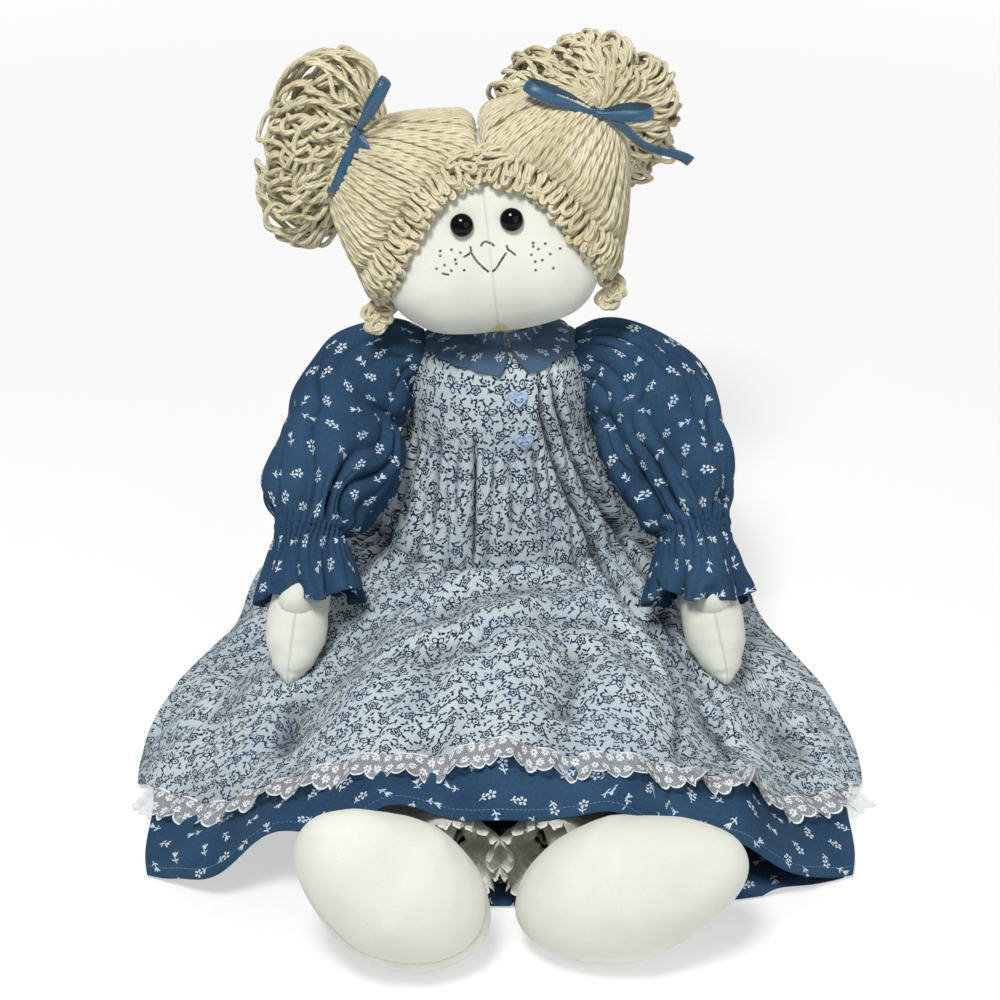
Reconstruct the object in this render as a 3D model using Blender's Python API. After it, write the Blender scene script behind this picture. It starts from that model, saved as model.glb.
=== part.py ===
"""A seated rag doll: stuffed muslin body, yarn hair in two pigtails, a blue dress, a white
pinafore with a lace hem and pantaloons. Metres, +Z up. The doll faces -Y, and its own left is
at +X. The origin is under the seat, on the surface that the doll sits on."""

import math

import bmesh
import bpy
from mathutils import Matrix, Vector

# Fits between pieces
CLEARANCE = 0.0003
CLOTH = 0.0015
LAYER_GAP = 0.0012
OVERRUN = 0.004
SHARP_ANGLE = math.radians(50)

# Torso, sat on two layers of skirt and the seat of the pantaloons
SKIRT_LAYERS = 2 * (CLOTH + CLEARANCE)
SEAT_Z = SKIRT_LAYERS + CLOTH + CLEARANCE
TORSO_HEIGHT = 0.1665
TORSO_TOP_Z = SEAT_Z + TORSO_HEIGHT
TORSO_HALF_WIDTH = 0.052
TORSO_HALF_DEPTH = 0.045
TORSO_Y = 0.036
TORSO_SIDES = 20
# Height, half width and half depth of the stuffed torso
TORSO_PROFILE_SHARES = (
    (0.00, 0.56, 0.52),
    (0.03, 0.76, 0.74),
    (0.12, 0.93, 0.94),
    (0.27, 1.00, 1.00),
    (0.45, 0.95, 0.92),
    (0.63, 0.91, 0.83),
    (0.81, 0.89, 0.77),
    (0.91, 0.81, 0.66),
    (0.97, 0.61, 0.51),
    (1.00, 0.38, 0.39),
)
PANTALOON_SEAT_SHARES = (0.0, 0.03, 0.12, 0.22)
BODICE_RING_SHARES = (0.25, 0.40, 0.56, 0.70, 0.81, 0.91, 0.97, 1.0)
BODY_RING_SHARES = PANTALOON_SEAT_SHARES + BODICE_RING_SHARES
PINAFORE_RING_SHARES = (0.29, 0.40, 0.56, 0.70, 0.81, 0.91, 0.97, 0.985)
BODICE_ROOM_LOW_SHARE = 0.13
PINAFORE_FLARE = 0.005
PINAFORE_FLARE_SHARES = ((0.25, 1.0), (0.50, 0.35), (0.75, 0.0), (1.0, 0.0))

# Neck, a stuffed stub between torso and head
NECK_RADIUS = 0.0165
NECK_SIDES = 16
NECK_LENGTH = 0.020

# Head, tipped back and rolled towards the doll's right
HEAD_SHIFT = -0.006
HEAD_RISE = 0.0581
HEAD_CENTRE = Vector((HEAD_SHIFT, TORSO_Y, TORSO_TOP_Z + HEAD_RISE))
HEAD_HALF_WIDTH = 0.0595
HEAD_HALF_DEPTH = 0.040
HEAD_HALF_HEIGHT = 0.053
HEAD_PITCH = math.radians(-22)
HEAD_ROLL = math.radians(6.3)
HEAD_CHEEK_POWER = 2.9
HEAD_CROWN_POWER = 2.3
HEAD_CROWN_TAPER_SHARE = 0.16
FACE_TRIES = 30
HEAD_SEGMENTS = 22
HEAD_RINGS = 12

# Eyes, domed safety eyes on a stem, each held by a washer inside the head
EYE_RADIUS = 0.0060
EYE_DOME = 0.0042
EYE_SPREAD = 0.0127
EYE_HEIGHT = 0.0067
EYE_STEM_RADIUS = 0.0016
EYE_STEM_LENGTH = 0.0120
EYE_WASHER_RADIUS = 0.0060
EYE_WASHER_DEPTH = 0.0080
EYE_WASHER_THICKNESS = 0.0015
EYE_SIDES = 14
# Radius and height of the dome
EYE_DOME_SHARES = ((1.0, 0.0), (0.98, 0.22), (0.88, 0.52), (0.66, 0.79), (0.35, 0.95))

# Yarn hair: a cap on each side, drawn to a tie, a looped fringe and a pigtail
HAIR_DEPTH = 0.0105
HAIR_PARTING = 0.0006
HAIR_GATHER = 0.024
HAIR_GATHER_ANGLE = math.radians(30)
HAIR_FACE_TOP_SHARE = 0.57
HAIR_LOW_SHARE = -0.72
HAIR_BACK_LOW_SHARE = -0.60
# Half width of the bare face at each height
FACE_WIDTH_SHARES = (
    (-0.90, 0.97),
    (-0.60, 0.98),
    (-0.38, 0.92),
    (-0.08, 0.72),
    (0.17, 0.57),
    (0.42, 0.36),
    (0.57, 0.04),
)
# Half width that the caps leave bare, for the face and its fringe
CAP_WIDTH_SHARES = (
    (-0.90, 1.16),
    (-0.38, 1.06),
    (-0.08, 0.86),
    (0.17, 0.71),
    (0.42, 0.50),
    (0.57, 0.31),
    (0.66, 0.15),
    (0.72, 0.00),
)
HAIR_TURNS = 36
HAIR_STEPS = 6
HAIR_ROOM_DEPTH_SHARE = 0.4
HAIR_ROOM_MARGIN = math.radians(1)
HAIR_SEAT_SHARE = 0.93
FRINGE_RADIUS = 0.0062
FRINGE_SEAT_SHARE = 0.75
FRINGE_SIDES = 8
FRINGE_STEPS = 12
LEFT_TIE = HEAD_CENTRE + Vector((0.0562, 0.0190, 0.0588))
RIGHT_TIE = HEAD_CENTRE + Vector((-0.0700, 0.0190, 0.0313))
# Centre, half sizes and lean of each pigtail, then its lobes: turn, height, swell, spread
LEFT_TAIL_CENTRE = HEAD_CENTRE + Vector((0.0515, 0.0480, 0.0435))
LEFT_TAIL_HALVES = Vector((0.050, 0.031, 0.044))
LEFT_TAIL_LEAN = math.radians(0)
LEFT_TAIL_LOBE_SHARES = (
    (0.00, 0.25, 0.12, 0.5),
    (0.22, 0.85, 0.12, 0.5),
    (0.50, 0.45, 0.14, 0.5),
    (0.93, -0.65, 0.16, 0.45),
)
RIGHT_TAIL_CENTRE = HEAD_CENTRE + Vector((-0.0900, 0.0300, 0.0320))
RIGHT_TAIL_HALVES = Vector((0.031, 0.031, 0.060))
RIGHT_TAIL_LEAN = math.radians(14)
RIGHT_TAIL_LOBE_SHARES = (
    (0.00, 0.90, 0.10, 0.5),
    (0.50, 0.20, 0.14, 0.6),
    (0.55, -0.80, 0.10, 0.5),
)
TAIL_SEGMENTS = 16
TAIL_RINGS = 10

# Satin ribbons, tied in a bow round each pigtail
RIBBON_WIDTH = 0.0064
RIBBON_THICKNESS = 0.0008
RIBBON_KNOT = 0.0036
LEFT_KNOT = HEAD_CENTRE + Vector((0.0554, 0.0002, 0.0655))
LEFT_BOW_REACHES = (Vector((-0.036, 0.002, 0.0150)), Vector((0.028, 0.000, 0.0010)))
LEFT_BOW_TAILS = (Vector((0.048, -0.004, -0.0255)), Vector((0.014, 0.020, -0.0120)))
RIGHT_KNOT = HEAD_CENTRE + Vector((-0.0672, 0.0002, 0.0551))
RIGHT_BOW_REACHES = (Vector((0.0160, -0.002, 0.0290)), Vector((-0.0135, -0.004, -0.0316)))
RIGHT_BOW_TAILS = (Vector((0.0137, -0.010, -0.0330)), Vector((0.0010, -0.006, -0.0500)))
BOW_LOOP_BULGE = 0.0050
BOW_STEPS = 8
TAIL_STEPS = 4
TAIL_CURL = 0.0035

# Arms, hanging beside the torso with the hands on the lap
SHOULDER_Y = TORSO_Y + 0.0020
SHOULDER_DROP = 0.0189
SHOULDER_Z = TORSO_TOP_Z - SHOULDER_DROP
ARM_ROOT_X = 0.0465
ARM_SIDES = 12
ARMHOLE_RADIUS = 0.0112
# Path of the right arm's stations: across, forward and height, then half width and half depth
ARM_STATIONS = (
    (ARM_ROOT_X, SHOULDER_Y, SHOULDER_Z, 0.0100, 0.0100),
    (0.0560, SHOULDER_Y, SHOULDER_Z - 0.0010, 0.0108, 0.0108),
    (0.0760, 0.0300, SHOULDER_Z - 0.0130, 0.0125, 0.0125),
    (0.0950, 0.0020, SHOULDER_Z - 0.0370, 0.0130, 0.0130),
    (0.1030, -0.0350, SHOULDER_Z - 0.0640, 0.0128, 0.0128),
    (0.1050, -0.0600, 0.0650, 0.0150, 0.0125),
    (0.1080, -0.0760, 0.0480, 0.0168, 0.0130),
    (0.1100, -0.0870, 0.0380, 0.0135, 0.0105),
    (0.1110, -0.0930, 0.0330, 0.0070, 0.0060),
)
LEFT_ARM_SHIFT = 0.0080
THUMB_HALVES = Vector((0.0085, 0.0085, 0.0085))
THUMB_OFFSET = Vector((0.0000, -0.0165, -0.0005))
THUMB_STATION = 5

# Sleeves, puffed, drawn in by elastic and ruffled below it
SLEEVE_SIDES = 14
SLEEVE_STATIONS = (
    (0.0390, 0.0385, SHOULDER_Z + 0.0015, 0.0140, 0.0140),
    (0.0600, 0.0370, SHOULDER_Z - 0.0010, 0.0225, 0.0220),
    (0.0830, 0.0240, SHOULDER_Z - 0.0170, 0.0325, 0.0300),
    (0.0930, 0.0060, SHOULDER_Z - 0.0330, 0.0350, 0.0310),
    (0.1000, -0.0150, SHOULDER_Z - 0.0490, 0.0315, 0.0280),
    (0.1025, -0.0300, SHOULDER_Z - 0.0600, 0.0215, 0.0200),
    (0.1030, -0.0360, SHOULDER_Z - 0.0650, 0.0178, 0.0178),
    (0.1030, -0.0420, SHOULDER_Z - 0.0715, 0.0215, 0.0200),
    (0.1020, -0.0540, 0.0670, 0.0300, 0.0240),
    (0.1015, -0.0600, 0.0600, 0.0325, 0.0260),
)
ELASTIC_STATION = 6
ELASTIC_RADIUS = 0.0013
ELASTIC_SIDES = 14

# Legs, folded forward at the hip, with the feet fallen outward
HIP_Z = 0.0240
LEG_SIDES = 12
LEG_ROOT_X = 0.0300
LEG_ROOT_HALF_WIDTH = 0.0150
LEG_ROOT_HALF_HEIGHT = 0.0025
# Stations of the left leg: across, forward and height, then half width and half height
LEG_STATIONS = (
    (0.0303, -0.0240, 0.0250, 0.0172, 0.0070),
    (0.0310, -0.0400, 0.0268, 0.0185, 0.0150),
    (0.0320, -0.0650, 0.0277, 0.0200, 0.0200),
    (0.0335, -0.1200, 0.0280, 0.0205, 0.0205),
    (0.0360, -0.1750, 0.0285, 0.0200, 0.0200),
    (0.0400, -0.2150, 0.0320, 0.0175, 0.0175),
    (0.0420, -0.2380, 0.0330, 0.0190, 0.0190),
)
FOOT_HALF_WIDTH = 0.036
FOOT_HALF_DEPTH = 0.030
LEFT_FOOT_CENTRE_X = 0.0606
LEFT_FOOT_CENTRE_Y = -0.256
LEFT_FOOT_HALF_LENGTH = 0.056
LEFT_FOOT_FALL = math.radians(70)
RIGHT_FOOT_CENTRE_X = 0.0497
RIGHT_FOOT_CENTRE_Y = -0.262
RIGHT_FOOT_HALF_LENGTH = 0.052
RIGHT_FOOT_FALL = math.radians(48)
TOE_TAPER_SHARE = 0.16
FOOT_SEGMENTS = 16
FOOT_RINGS = 10
FOOT_FLAT = 0.0005

# Pantaloons and their lace cuffs
PANTALOON_SIDES = 14
PANTALOON_STATIONS = (
    (0.0310, -0.0400, 0.0268, 0.0212, 0.0180),
    (0.0320, -0.0650, 0.0277, 0.0240, 0.0240),
    (0.0335, -0.1200, 0.0282, 0.0245, 0.0245),
    (0.0360, -0.1750, 0.0285, 0.0240, 0.0240),
    (0.0385, -0.2000, 0.0306, 0.0212, 0.0212),
)
CUFF_STATIONS = (
    (0.0387, -0.2020, 0.0305, 0.0215, 0.0215),
    (0.0400, -0.2120, 0.0305, 0.0230, 0.0230),
    (0.0412, -0.2240, 0.0305, 0.0245, 0.0245),
)

# Skirts: each is a tube of cloth lying flat, over and under the legs and behind the seat
SKIRT_BACK_Y = 0.118
SKIRT_HEM_Y = -0.230
SKIRT_SPLIT_Y = -0.0265
SKIRT_HALF_WIDTH = 0.187
SKIRT_PEAK = 0.0745
SKIRT_EDGE = 0.0062
SKIRT_HEM_DRAW = 0.020
PINAFORE_HEM_Y = -0.193
PINAFORE_HEM_DRAW = 0.055
LACE_WIDTH = 0.0115
HEM_CURVE_POWER = 4
# Run from back to front hem, half width, height, and the two powers of the cross-section
SKIRT_RUN_SHARES = (
    (0.000, 0.19, 0.18, 4.0, 1.2),
    (0.028, 0.45, 0.42, 4.0, 1.2),
    (0.080, 0.63, 0.66, 4.0, 1.2),
    (0.195, 0.75, 0.73, 4.0, 1.2),
    (0.340, 0.80, 0.73, 4.0, 1.2),
    (0.415, 0.86, 0.71, 3.0, 1.5),
    (0.510, 0.94, 0.88, 2.0, 2.2),
    (0.670, 1.00, 1.00, 1.9, 2.4),
    (0.830, 0.97, 0.93, 2.2, 1.9),
    (0.930, 0.94, 0.89, 2.8, 1.6),
    (1.000, 0.91, 0.87, 3.0, 1.5),
)
SKIRT_BACK_RUN_SHARES = (0.0, 0.03, 0.08, 0.2, 0.45, 0.72, 1.0)
SKIRT_FRONT_STEPS = 7
SKIRT_TOP_STEPS = 22
SKIRT_FLOOR_STEPS = 3
FOLD_HEIGHT = 0.0043
FOLD_COUNT = 6
# Run and strength of the folds
FOLD_SHARES = ((0.0, 0.0), (0.42, 0.0), (0.62, 0.55), (0.85, 0.8), (1.0, 1.0))

# Collar, in two pointed halves that meet at the front
FRONT_X = 0.0085
# Angle from the front, as a share of half a turn, and height of the collar's low edge
COLLAR_EDGE_SHARES = (
    (0.030, 0.985),
    (0.085, 0.940),
    (0.25, 0.952),
    (0.50, 0.955),
    (0.985, 0.950),
)
COLLAR_REACH_SHARE = 0.90
COLLAR_STAND = 0.0012
COLLAR_STEPS = 10
COLLAR_CROWDING = 1.4
COLLAR_RISE_STEPS = 3

# Heart buttons and the thread that holds them
BUTTON_WIDTH = 0.0110
BUTTON_THICKNESS = 0.0022
BUTTON_HOLE_RADIUS = 0.0009
BUTTON_HOLE_SPREAD = 0.0017
BUTTON_HEIGHTS = (("upper_button", TORSO_TOP_Z - 0.0235), ("lower_button", TORSO_TOP_Z - 0.0477))
BUTTON_SHIFTS = {"upper_button": 0.0100, "lower_button": 0.0125}
BUTTON_POINTS = 20
# Size and height of the rings of a button's rounded edge
BUTTON_EDGE_SHARES = ((0.93, 0.0), (1.0, 0.2), (1.0, 0.8), (0.93, 1.0))
HOLE_SIDES = 10
THREAD_RADIUS = 0.00045
THREAD_SIDES = 6
THREAD_TOP_SHARE = 0.7

MUSLIN = (0.83, 0.80, 0.73, 1.0)
YARN = (0.84, 0.76, 0.60, 1.0)
BLUE_CALICO = (0.13, 0.24, 0.44, 1.0)
WHITE_PRINT = (0.72, 0.77, 0.84, 1.0)
WHITE_LACE = (0.86, 0.86, 0.86, 1.0)
SATIN = (0.07, 0.22, 0.34, 1.0)
BLACK_PLASTIC = (0.01, 0.01, 0.01, 1.0)
PALE_BLUE = (0.55, 0.62, 0.86, 1.0)

SIDES = (("left", 1), ("right", -1))


def clear_scene():
    for old in list(bpy.data.objects):
        bpy.data.objects.remove(old)


def material(name, colour, roughness):
    made = bpy.data.materials.new(name)
    made.use_nodes = True
    shader = made.node_tree.nodes["Principled BSDF"]
    shader.inputs["Base Color"].default_value = colour
    shader.inputs["Roughness"].default_value = roughness
    shader.inputs["Metallic"].default_value = 0.0
    return made


# Curves through tables

def slope(rows, row, column):
    before, after = rows[max(row - 1, 0)], rows[min(row + 1, len(rows) - 1)]
    return (after[column] - before[column]) / (after[0] - before[0])


def smooth_at(rows, key):
    """The other columns at this key, on a smooth curve through the rows, whose keys rise."""
    key = min(max(key, rows[0][0]), rows[-1][0])
    right = max(next(i for i, row in enumerate(rows) if row[0] >= key), 1)
    left = right - 1
    span = rows[right][0] - rows[left][0]
    t = (key - rows[left][0]) / span
    values = []
    for column in range(1, len(rows[0])):
        start, end = rows[left][column], rows[right][column]
        lift = slope(rows, left, column) * span
        fall = slope(rows, right, column) * span
        values.append(
            start * (1 + 2 * t) * (1 - t) ** 2
            + end * t * t * (3 - 2 * t)
            + lift * t * (1 - t) ** 2
            - fall * t * t * (1 - t)
        )
    return values


# Meshes

def place(name, bm, look):
    """A new object of this mesh, with its faces pointing out."""
    bmesh.ops.recalc_face_normals(bm, faces=bm.faces)
    mesh = bpy.data.meshes.new(name)
    bm.to_mesh(mesh)
    bm.free()
    mesh.materials.append(look)
    mesh.shade_smooth()
    mesh.set_sharp_from_angle(angle=SHARP_ANGLE)
    made = bpy.data.objects.new(name, mesh)
    bpy.context.scene.collection.objects.link(made)
    return made


def hide(helper):
    helper.hide_render = True
    helper.display_type = "WIRE"
    return helper


def cut(target, cutter, operation="DIFFERENCE"):
    """Keeps a Boolean on the target, with the hidden cutter as its other shape."""
    boolean = target.modifiers.new(operation.lower(), "BOOLEAN")
    boolean.operation = operation
    boolean.solver = "EXACT"
    boolean.object = hide(cutter)


def add_ring(bm, points):
    return [bm.verts.new(point) for point in points]


def bridge(bm, lower, upper, around=True):
    """Triangles between two rings, split the same way in a solid and in its grown copy."""
    count = len(lower)
    for i in range(count if around else count - 1):
        j = (i + 1) % count
        bm.faces.new((lower[i], lower[j], upper[j]))
        bm.faces.new((lower[i], upper[j], upper[i]))


def cap(bm, ring):
    """Closes a ring with a fan round its middle."""
    middle = bm.verts.new(sum((v.co for v in ring), Vector()) / len(ring))
    for i, vertex in enumerate(ring):
        bm.faces.new((vertex, ring[(i + 1) % len(ring)], middle))


def solid_of(name, rings, look):
    """A closed solid through these rings, capped at both ends."""
    bm = bmesh.new()
    made = [add_ring(bm, ring) for ring in rings]
    for lower, upper in zip(made, made[1:]):
        bridge(bm, lower, upper)
    cap(bm, made[0])
    cap(bm, made[-1])
    return place(name, bm, look)


def shell_of(name, outer, inner, look, around=True, shut=False):
    """A wall between two grids of like size. Shut closes the first rings with caps."""
    bm = bmesh.new()
    outside = [add_ring(bm, ring) for ring in outer]
    inside = [add_ring(bm, ring) for ring in inner]
    for grid in (outside, inside):
        for lower, upper in zip(grid, grid[1:]):
            bridge(bm, lower, upper, around)
    if shut:
        cap(bm, outside[0])
        cap(bm, inside[0])
    else:
        bridge(bm, outside[0], inside[0], around)
    bridge(bm, outside[-1], inside[-1], around)
    if not around:
        for end in (0, -1):
            bridge(bm, [ring[end] for ring in outside], [ring[end] for ring in inside], False)
    return place(name, bm, look)


def star_solid(name, radius_at, matrix, look, segments, rings):
    """A solid whose radius is known in each direction from its centre."""
    bm = bmesh.new()
    rows = []
    for ring in range(1, rings):
        polar = math.pi * ring / rings
        row = []
        for segment in range(segments):
            turn = 2 * math.pi * segment / segments
            flat = math.sin(polar)
            ray = Vector((flat * math.cos(turn), flat * math.sin(turn), math.cos(polar)))
            row.append(bm.verts.new(matrix @ (ray * radius_at(ray))))
        rows.append(row)
    for upper, lower in zip(rows, rows[1:]):
        bridge(bm, upper, lower)
    for row, ray in ((rows[0], Vector((0, 0, 1))), (rows[-1], Vector((0, 0, -1)))):
        pole = bm.verts.new(matrix @ (ray * radius_at(ray)))
        for i, vertex in enumerate(row):
            bm.faces.new((vertex, row[(i + 1) % len(row)], pole))
    return place(name, bm, look)


def turned_ring(matrix, radius, height, sides):
    turns = (2 * math.pi * i / sides for i in range(sides))
    return [matrix @ Vector((radius * math.cos(a), radius * math.sin(a), height)) for a in turns]


def station_rings(stations, sides, grow=0.0, steps=1, side=1):
    """Elliptical rings square to the path through these stations, mirrored for the right.

    The widths lie across X at the last station, and keep from turning on the way back."""
    rows = [(i, *station) for i, station in enumerate(stations)]
    spots = [smooth_at(rows, i / steps) for i in range((len(stations) - 1) * steps + 1)]
    rings = []
    across = Vector((1, 0, 0))
    for i in reversed(range(len(spots))):
        x, y, z, wide, deep = spots[i]
        before, after = spots[max(i - 1, 0)], spots[min(i + 1, len(spots) - 1)]
        along = (Vector(after[:3]) - Vector(before[:3])).normalized()
        across = (across - along * across.dot(along)).normalized()
        up = across.cross(along)
        ring = []
        for turn in (2 * math.pi * k / sides for k in range(sides)):
            out = across * ((wide + grow) * math.cos(turn)) + up * ((deep + grow) * math.sin(turn))
            point = Vector((x, y, z)) + out
            point.x *= side
            ring.append(point)
        rings.insert(0, ring)
    return rings


# Torso and bodices

def torso_point(turn, share, grow=0.0):
    wide, deep = smooth_at(TORSO_PROFILE_SHARES, share)
    return Vector(
        (
            (TORSO_HALF_WIDTH * wide + grow) * math.cos(turn),
            TORSO_Y + (TORSO_HALF_DEPTH * deep + grow) * math.sin(turn),
            SEAT_Z + TORSO_HEIGHT * share,
        )
    )


def torso_ring(share, grow=0.0, drop=0.0):
    turns = (2 * math.pi * i / TORSO_SIDES for i in range(TORSO_SIDES))
    return [torso_point(turn, share, grow) - Vector((0, 0, drop)) for turn in turns]


def seat_front(x, z):
    """The y of the front of the pantaloons' seat at this place."""
    wide, deep = smooth_at(TORSO_PROFILE_SHARES, torso_share(z))
    grow = CLEARANCE + CLOTH
    across = x / (TORSO_HALF_WIDTH * wide + grow)
    return TORSO_Y - (TORSO_HALF_DEPTH * deep + grow) * math.sqrt(1 - across**2)


def pinafore_grow(share):
    """How far the pinafore's outer face stands off the torso."""
    flare = smooth_at(PINAFORE_FLARE_SHARES, share)[0]
    return 2 * CLOTH + CLEARANCE + LAYER_GAP + PINAFORE_FLARE * flare


def collar_grow(share):
    """How far the pinafore stands off the torso and, in the collar's reach, the collar."""
    collar = 2 * COLLAR_STAND + CLOTH if share >= COLLAR_REACH_SHARE else 0.0
    return pinafore_grow(share) + collar


def torso_share(height):
    return (height - SEAT_Z) / TORSO_HEIGHT


def armhole_cutters(radius):
    """A bar through both shoulders, which leaves the armholes."""
    reach = 2 * TORSO_HALF_WIDTH
    along_x = Matrix.Translation((0, SHOULDER_Y, SHOULDER_Z)) @ Matrix.Rotation(math.pi / 2, 4, "Y")
    rings = [turned_ring(along_x, radius, end, ARM_SIDES) for end in (-reach, reach)]
    return rings


def make_torso(muslin, calico, white_print, white):
    body = solid_of("body", [torso_ring(share) for share in BODY_RING_SHARES], muslin)

    gap = CLEARANCE
    outer, inner = [], []
    for share in PANTALOON_SEAT_SHARES:
        under = share == 0
        outer.append(torso_ring(share, gap + CLOTH, under * (gap + CLOTH)))
        inner.append(torso_ring(share, gap, under * gap))
    shell_of("pantaloon_seat", outer, inner, white, shut=True)

    outer = [torso_ring(share, gap + CLOTH) for share in BODICE_RING_SHARES]
    inner = [torso_ring(share, gap) for share in BODICE_RING_SHARES]
    dress = shell_of("dress_bodice", outer, inner, calico)

    outer = [torso_ring(share, pinafore_grow(share)) for share in PINAFORE_RING_SHARES]
    inner = [torso_ring(share, pinafore_grow(share) - CLOTH) for share in PINAFORE_RING_SHARES]
    pinafore = shell_of("pinafore_bodice", outer, inner, white_print)

    hole = solid_of("armhole_cutter", armhole_cutters(ARMHOLE_RADIUS), muslin)
    cut(dress, hole)
    cut(pinafore, hole)
    return body


def front_turn():
    """The turn, round the torso, of the middle of the dress's front."""
    return -math.acos(FRONT_X / TORSO_HALF_WIDTH)


def make_collar(calico):
    for name, side in SIDES:
        outer, inner = [], []
        for step in range(COLLAR_STEPS + 1):
            first, last = COLLAR_EDGE_SHARES[0][0], COLLAR_EDGE_SHARES[-1][0]
            away = first + (last - first) * (step / COLLAR_STEPS) ** COLLAR_CROWDING
            edge = smooth_at(COLLAR_EDGE_SHARES, away)[0]
            turn = front_turn() + side * math.pi * away
            high_row, low_row = [], []
            for rise in range(COLLAR_RISE_STEPS + 1):
                share = edge + (1 - edge) * rise / COLLAR_RISE_STEPS
                stand = pinafore_grow(share) + COLLAR_STAND
                high_row.append(torso_point(turn, share, stand + CLOTH))
                low_row.append(torso_point(turn, share, stand))
            outer.append(high_row)
            inner.append(low_row)
        shell_of(f"{name}_collar", outer, inner, calico, around=False)


# Head, neck and eyes

def head_matrix():
    return (
        Matrix.Translation(HEAD_CENTRE)
        @ Matrix.Rotation(HEAD_PITCH, 4, "X")
        @ Matrix.Rotation(-HEAD_ROLL, 4, "Y")
    )


def head_radius(ray):
    """The stuffed head's radius along a unit ray: broad at the cheeks, rounder at the crown."""
    up = max(ray.z, 0.0)
    down = max(-ray.z, 0.0)
    power = HEAD_CROWN_POWER + (HEAD_CHEEK_POWER - HEAD_CROWN_POWER) * min(2 * down, 1)
    narrow = 1 - HEAD_CROWN_TAPER_SHARE * up
    total = (
        (abs(ray.x) / (HEAD_HALF_WIDTH * narrow)) ** power
        + (abs(ray.y) / HEAD_HALF_DEPTH) ** power
        + (abs(ray.z) / HEAD_HALF_HEIGHT) ** power
    )
    return total ** (-1 / power)


def face_point(x, z):
    """The point of the face at this place across and up, in the head's own axes."""
    y = -HEAD_HALF_DEPTH
    for _ in range(FACE_TRIES):
        reach = head_radius(Vector((x, y, z)).normalized())
        y = -math.sqrt(max(reach * reach - x * x - z * z, 0.0))
    return Vector((x, y, z))


def face_frame(x, z):
    """Axes on the face at this place, with +Z straight out of it."""
    spot, step = face_point(x, z), EYE_STEM_RADIUS
    out = (face_point(x + step, z) - spot).cross(face_point(x, z + step) - spot)
    return Matrix.Translation(spot) @ out.to_track_quat("Z", "Y").to_matrix().to_4x4()


def make_head_room(muslin):
    """The head grown by its clearance, which the neck and the hair are cut by."""
    return star_solid(
        "head_room",
        lambda ray: head_radius(ray) + CLEARANCE,
        head_matrix(),
        muslin,
        HEAD_SEGMENTS,
        HEAD_RINGS,
    )


def make_head(room, muslin, black, nylon):
    head = star_solid("head", head_radius, head_matrix(), muslin, HEAD_SEGMENTS, HEAD_RINGS)
    top = TORSO_TOP_Z + CLEARANCE
    upright = Matrix.Translation((0, TORSO_Y, top))
    rings = [turned_ring(upright, NECK_RADIUS, h, NECK_SIDES) for h in (0, NECK_LENGTH)]
    cut(solid_of("neck", rings, muslin), room)
    for name, side in SIDES:
        outward = head_matrix() @ face_frame(side * EYE_SPREAD, EYE_HEIGHT)
        make_eye(name, outward, head, black, nylon)
    return head


def make_eye(name, outward, head, black, nylon):
    """Here +Z of the matrix points out of the face."""
    seat = 2 * CLEARANCE
    stem = [(EYE_STEM_RADIUS, -EYE_STEM_LENGTH), (EYE_STEM_RADIUS, seat)]
    dome = [(EYE_RADIUS * r, seat + EYE_DOME * h) for r, h in EYE_DOME_SHARES]
    rings = [turned_ring(outward, r, h, EYE_SIDES) for r, h in stem + dome]
    solid_of(f"{name}_eye", rings, black)

    bore = EYE_STEM_RADIUS + CLEARANCE
    pocket = EYE_WASHER_RADIUS + CLEARANCE
    near = -EYE_WASHER_DEPTH + CLEARANCE
    far = -EYE_WASHER_DEPTH - EYE_WASHER_THICKNESS - CLEARANCE
    end = -EYE_STEM_LENGTH - CLEARANCE
    profile = ((bore, end), (bore, far), (pocket, far), (pocket, near), (bore, near), (bore, OVERRUN))
    rings = [turned_ring(outward, r, h, EYE_SIDES) for r, h in profile]
    cut(head, solid_of(f"{name}_eye_bore", rings, black))

    heights = (-EYE_WASHER_DEPTH - EYE_WASHER_THICKNESS, -EYE_WASHER_DEPTH)
    outer = [turned_ring(outward, EYE_WASHER_RADIUS, h, EYE_SIDES) for h in heights]
    inner = [turned_ring(outward, bore, h, EYE_SIDES) for h in heights]
    shell_of(f"{name}_eye_washer", outer, inner, nylon)


# Hair

def is_hair(ray):
    """True where the caps of yarn cover the head, which is all but the face and its fringe."""
    point = ray * head_radius(ray)
    height = point.z / HEAD_HALF_HEIGHT
    if point.y > 0:
        return height > HAIR_BACK_LOW_SHARE
    bare = HEAD_HALF_WIDTH * smooth_at(CAP_WIDTH_SHARES, height)[0]
    return height > CAP_WIDTH_SHARES[-1][0] or abs(point.x) > bare


def tie_ray(tie):
    return (head_matrix().inverted() @ tie).normalized()


def tie_frame(tie):
    """Axes with +Z through the tie, for turning round it."""
    return tie_ray(tie).to_track_quat("Z", "Y").to_matrix()


def hair_edge(frame, turn, side):
    """How far from the tie, as an angle, the hair reaches at this turn."""
    reach = 0.0
    step = math.radians(1)
    while reach < math.pi:
        ray = frame @ polar_ray(reach + step, turn)
        if side * ray.x * head_radius(ray) < HAIR_PARTING or not is_hair(ray):
            break
        reach += step
    return reach


def polar_ray(polar, turn):
    flat = math.sin(polar)
    return Vector((flat * math.cos(turn), flat * math.sin(turn), math.cos(polar)))


def hair_height(polar):
    """How far the yarn stands off the head at this angle from the tie."""
    near = math.exp(-((polar / HAIR_GATHER_ANGLE) ** 2))
    return HAIR_DEPTH + HAIR_GATHER * near


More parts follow.
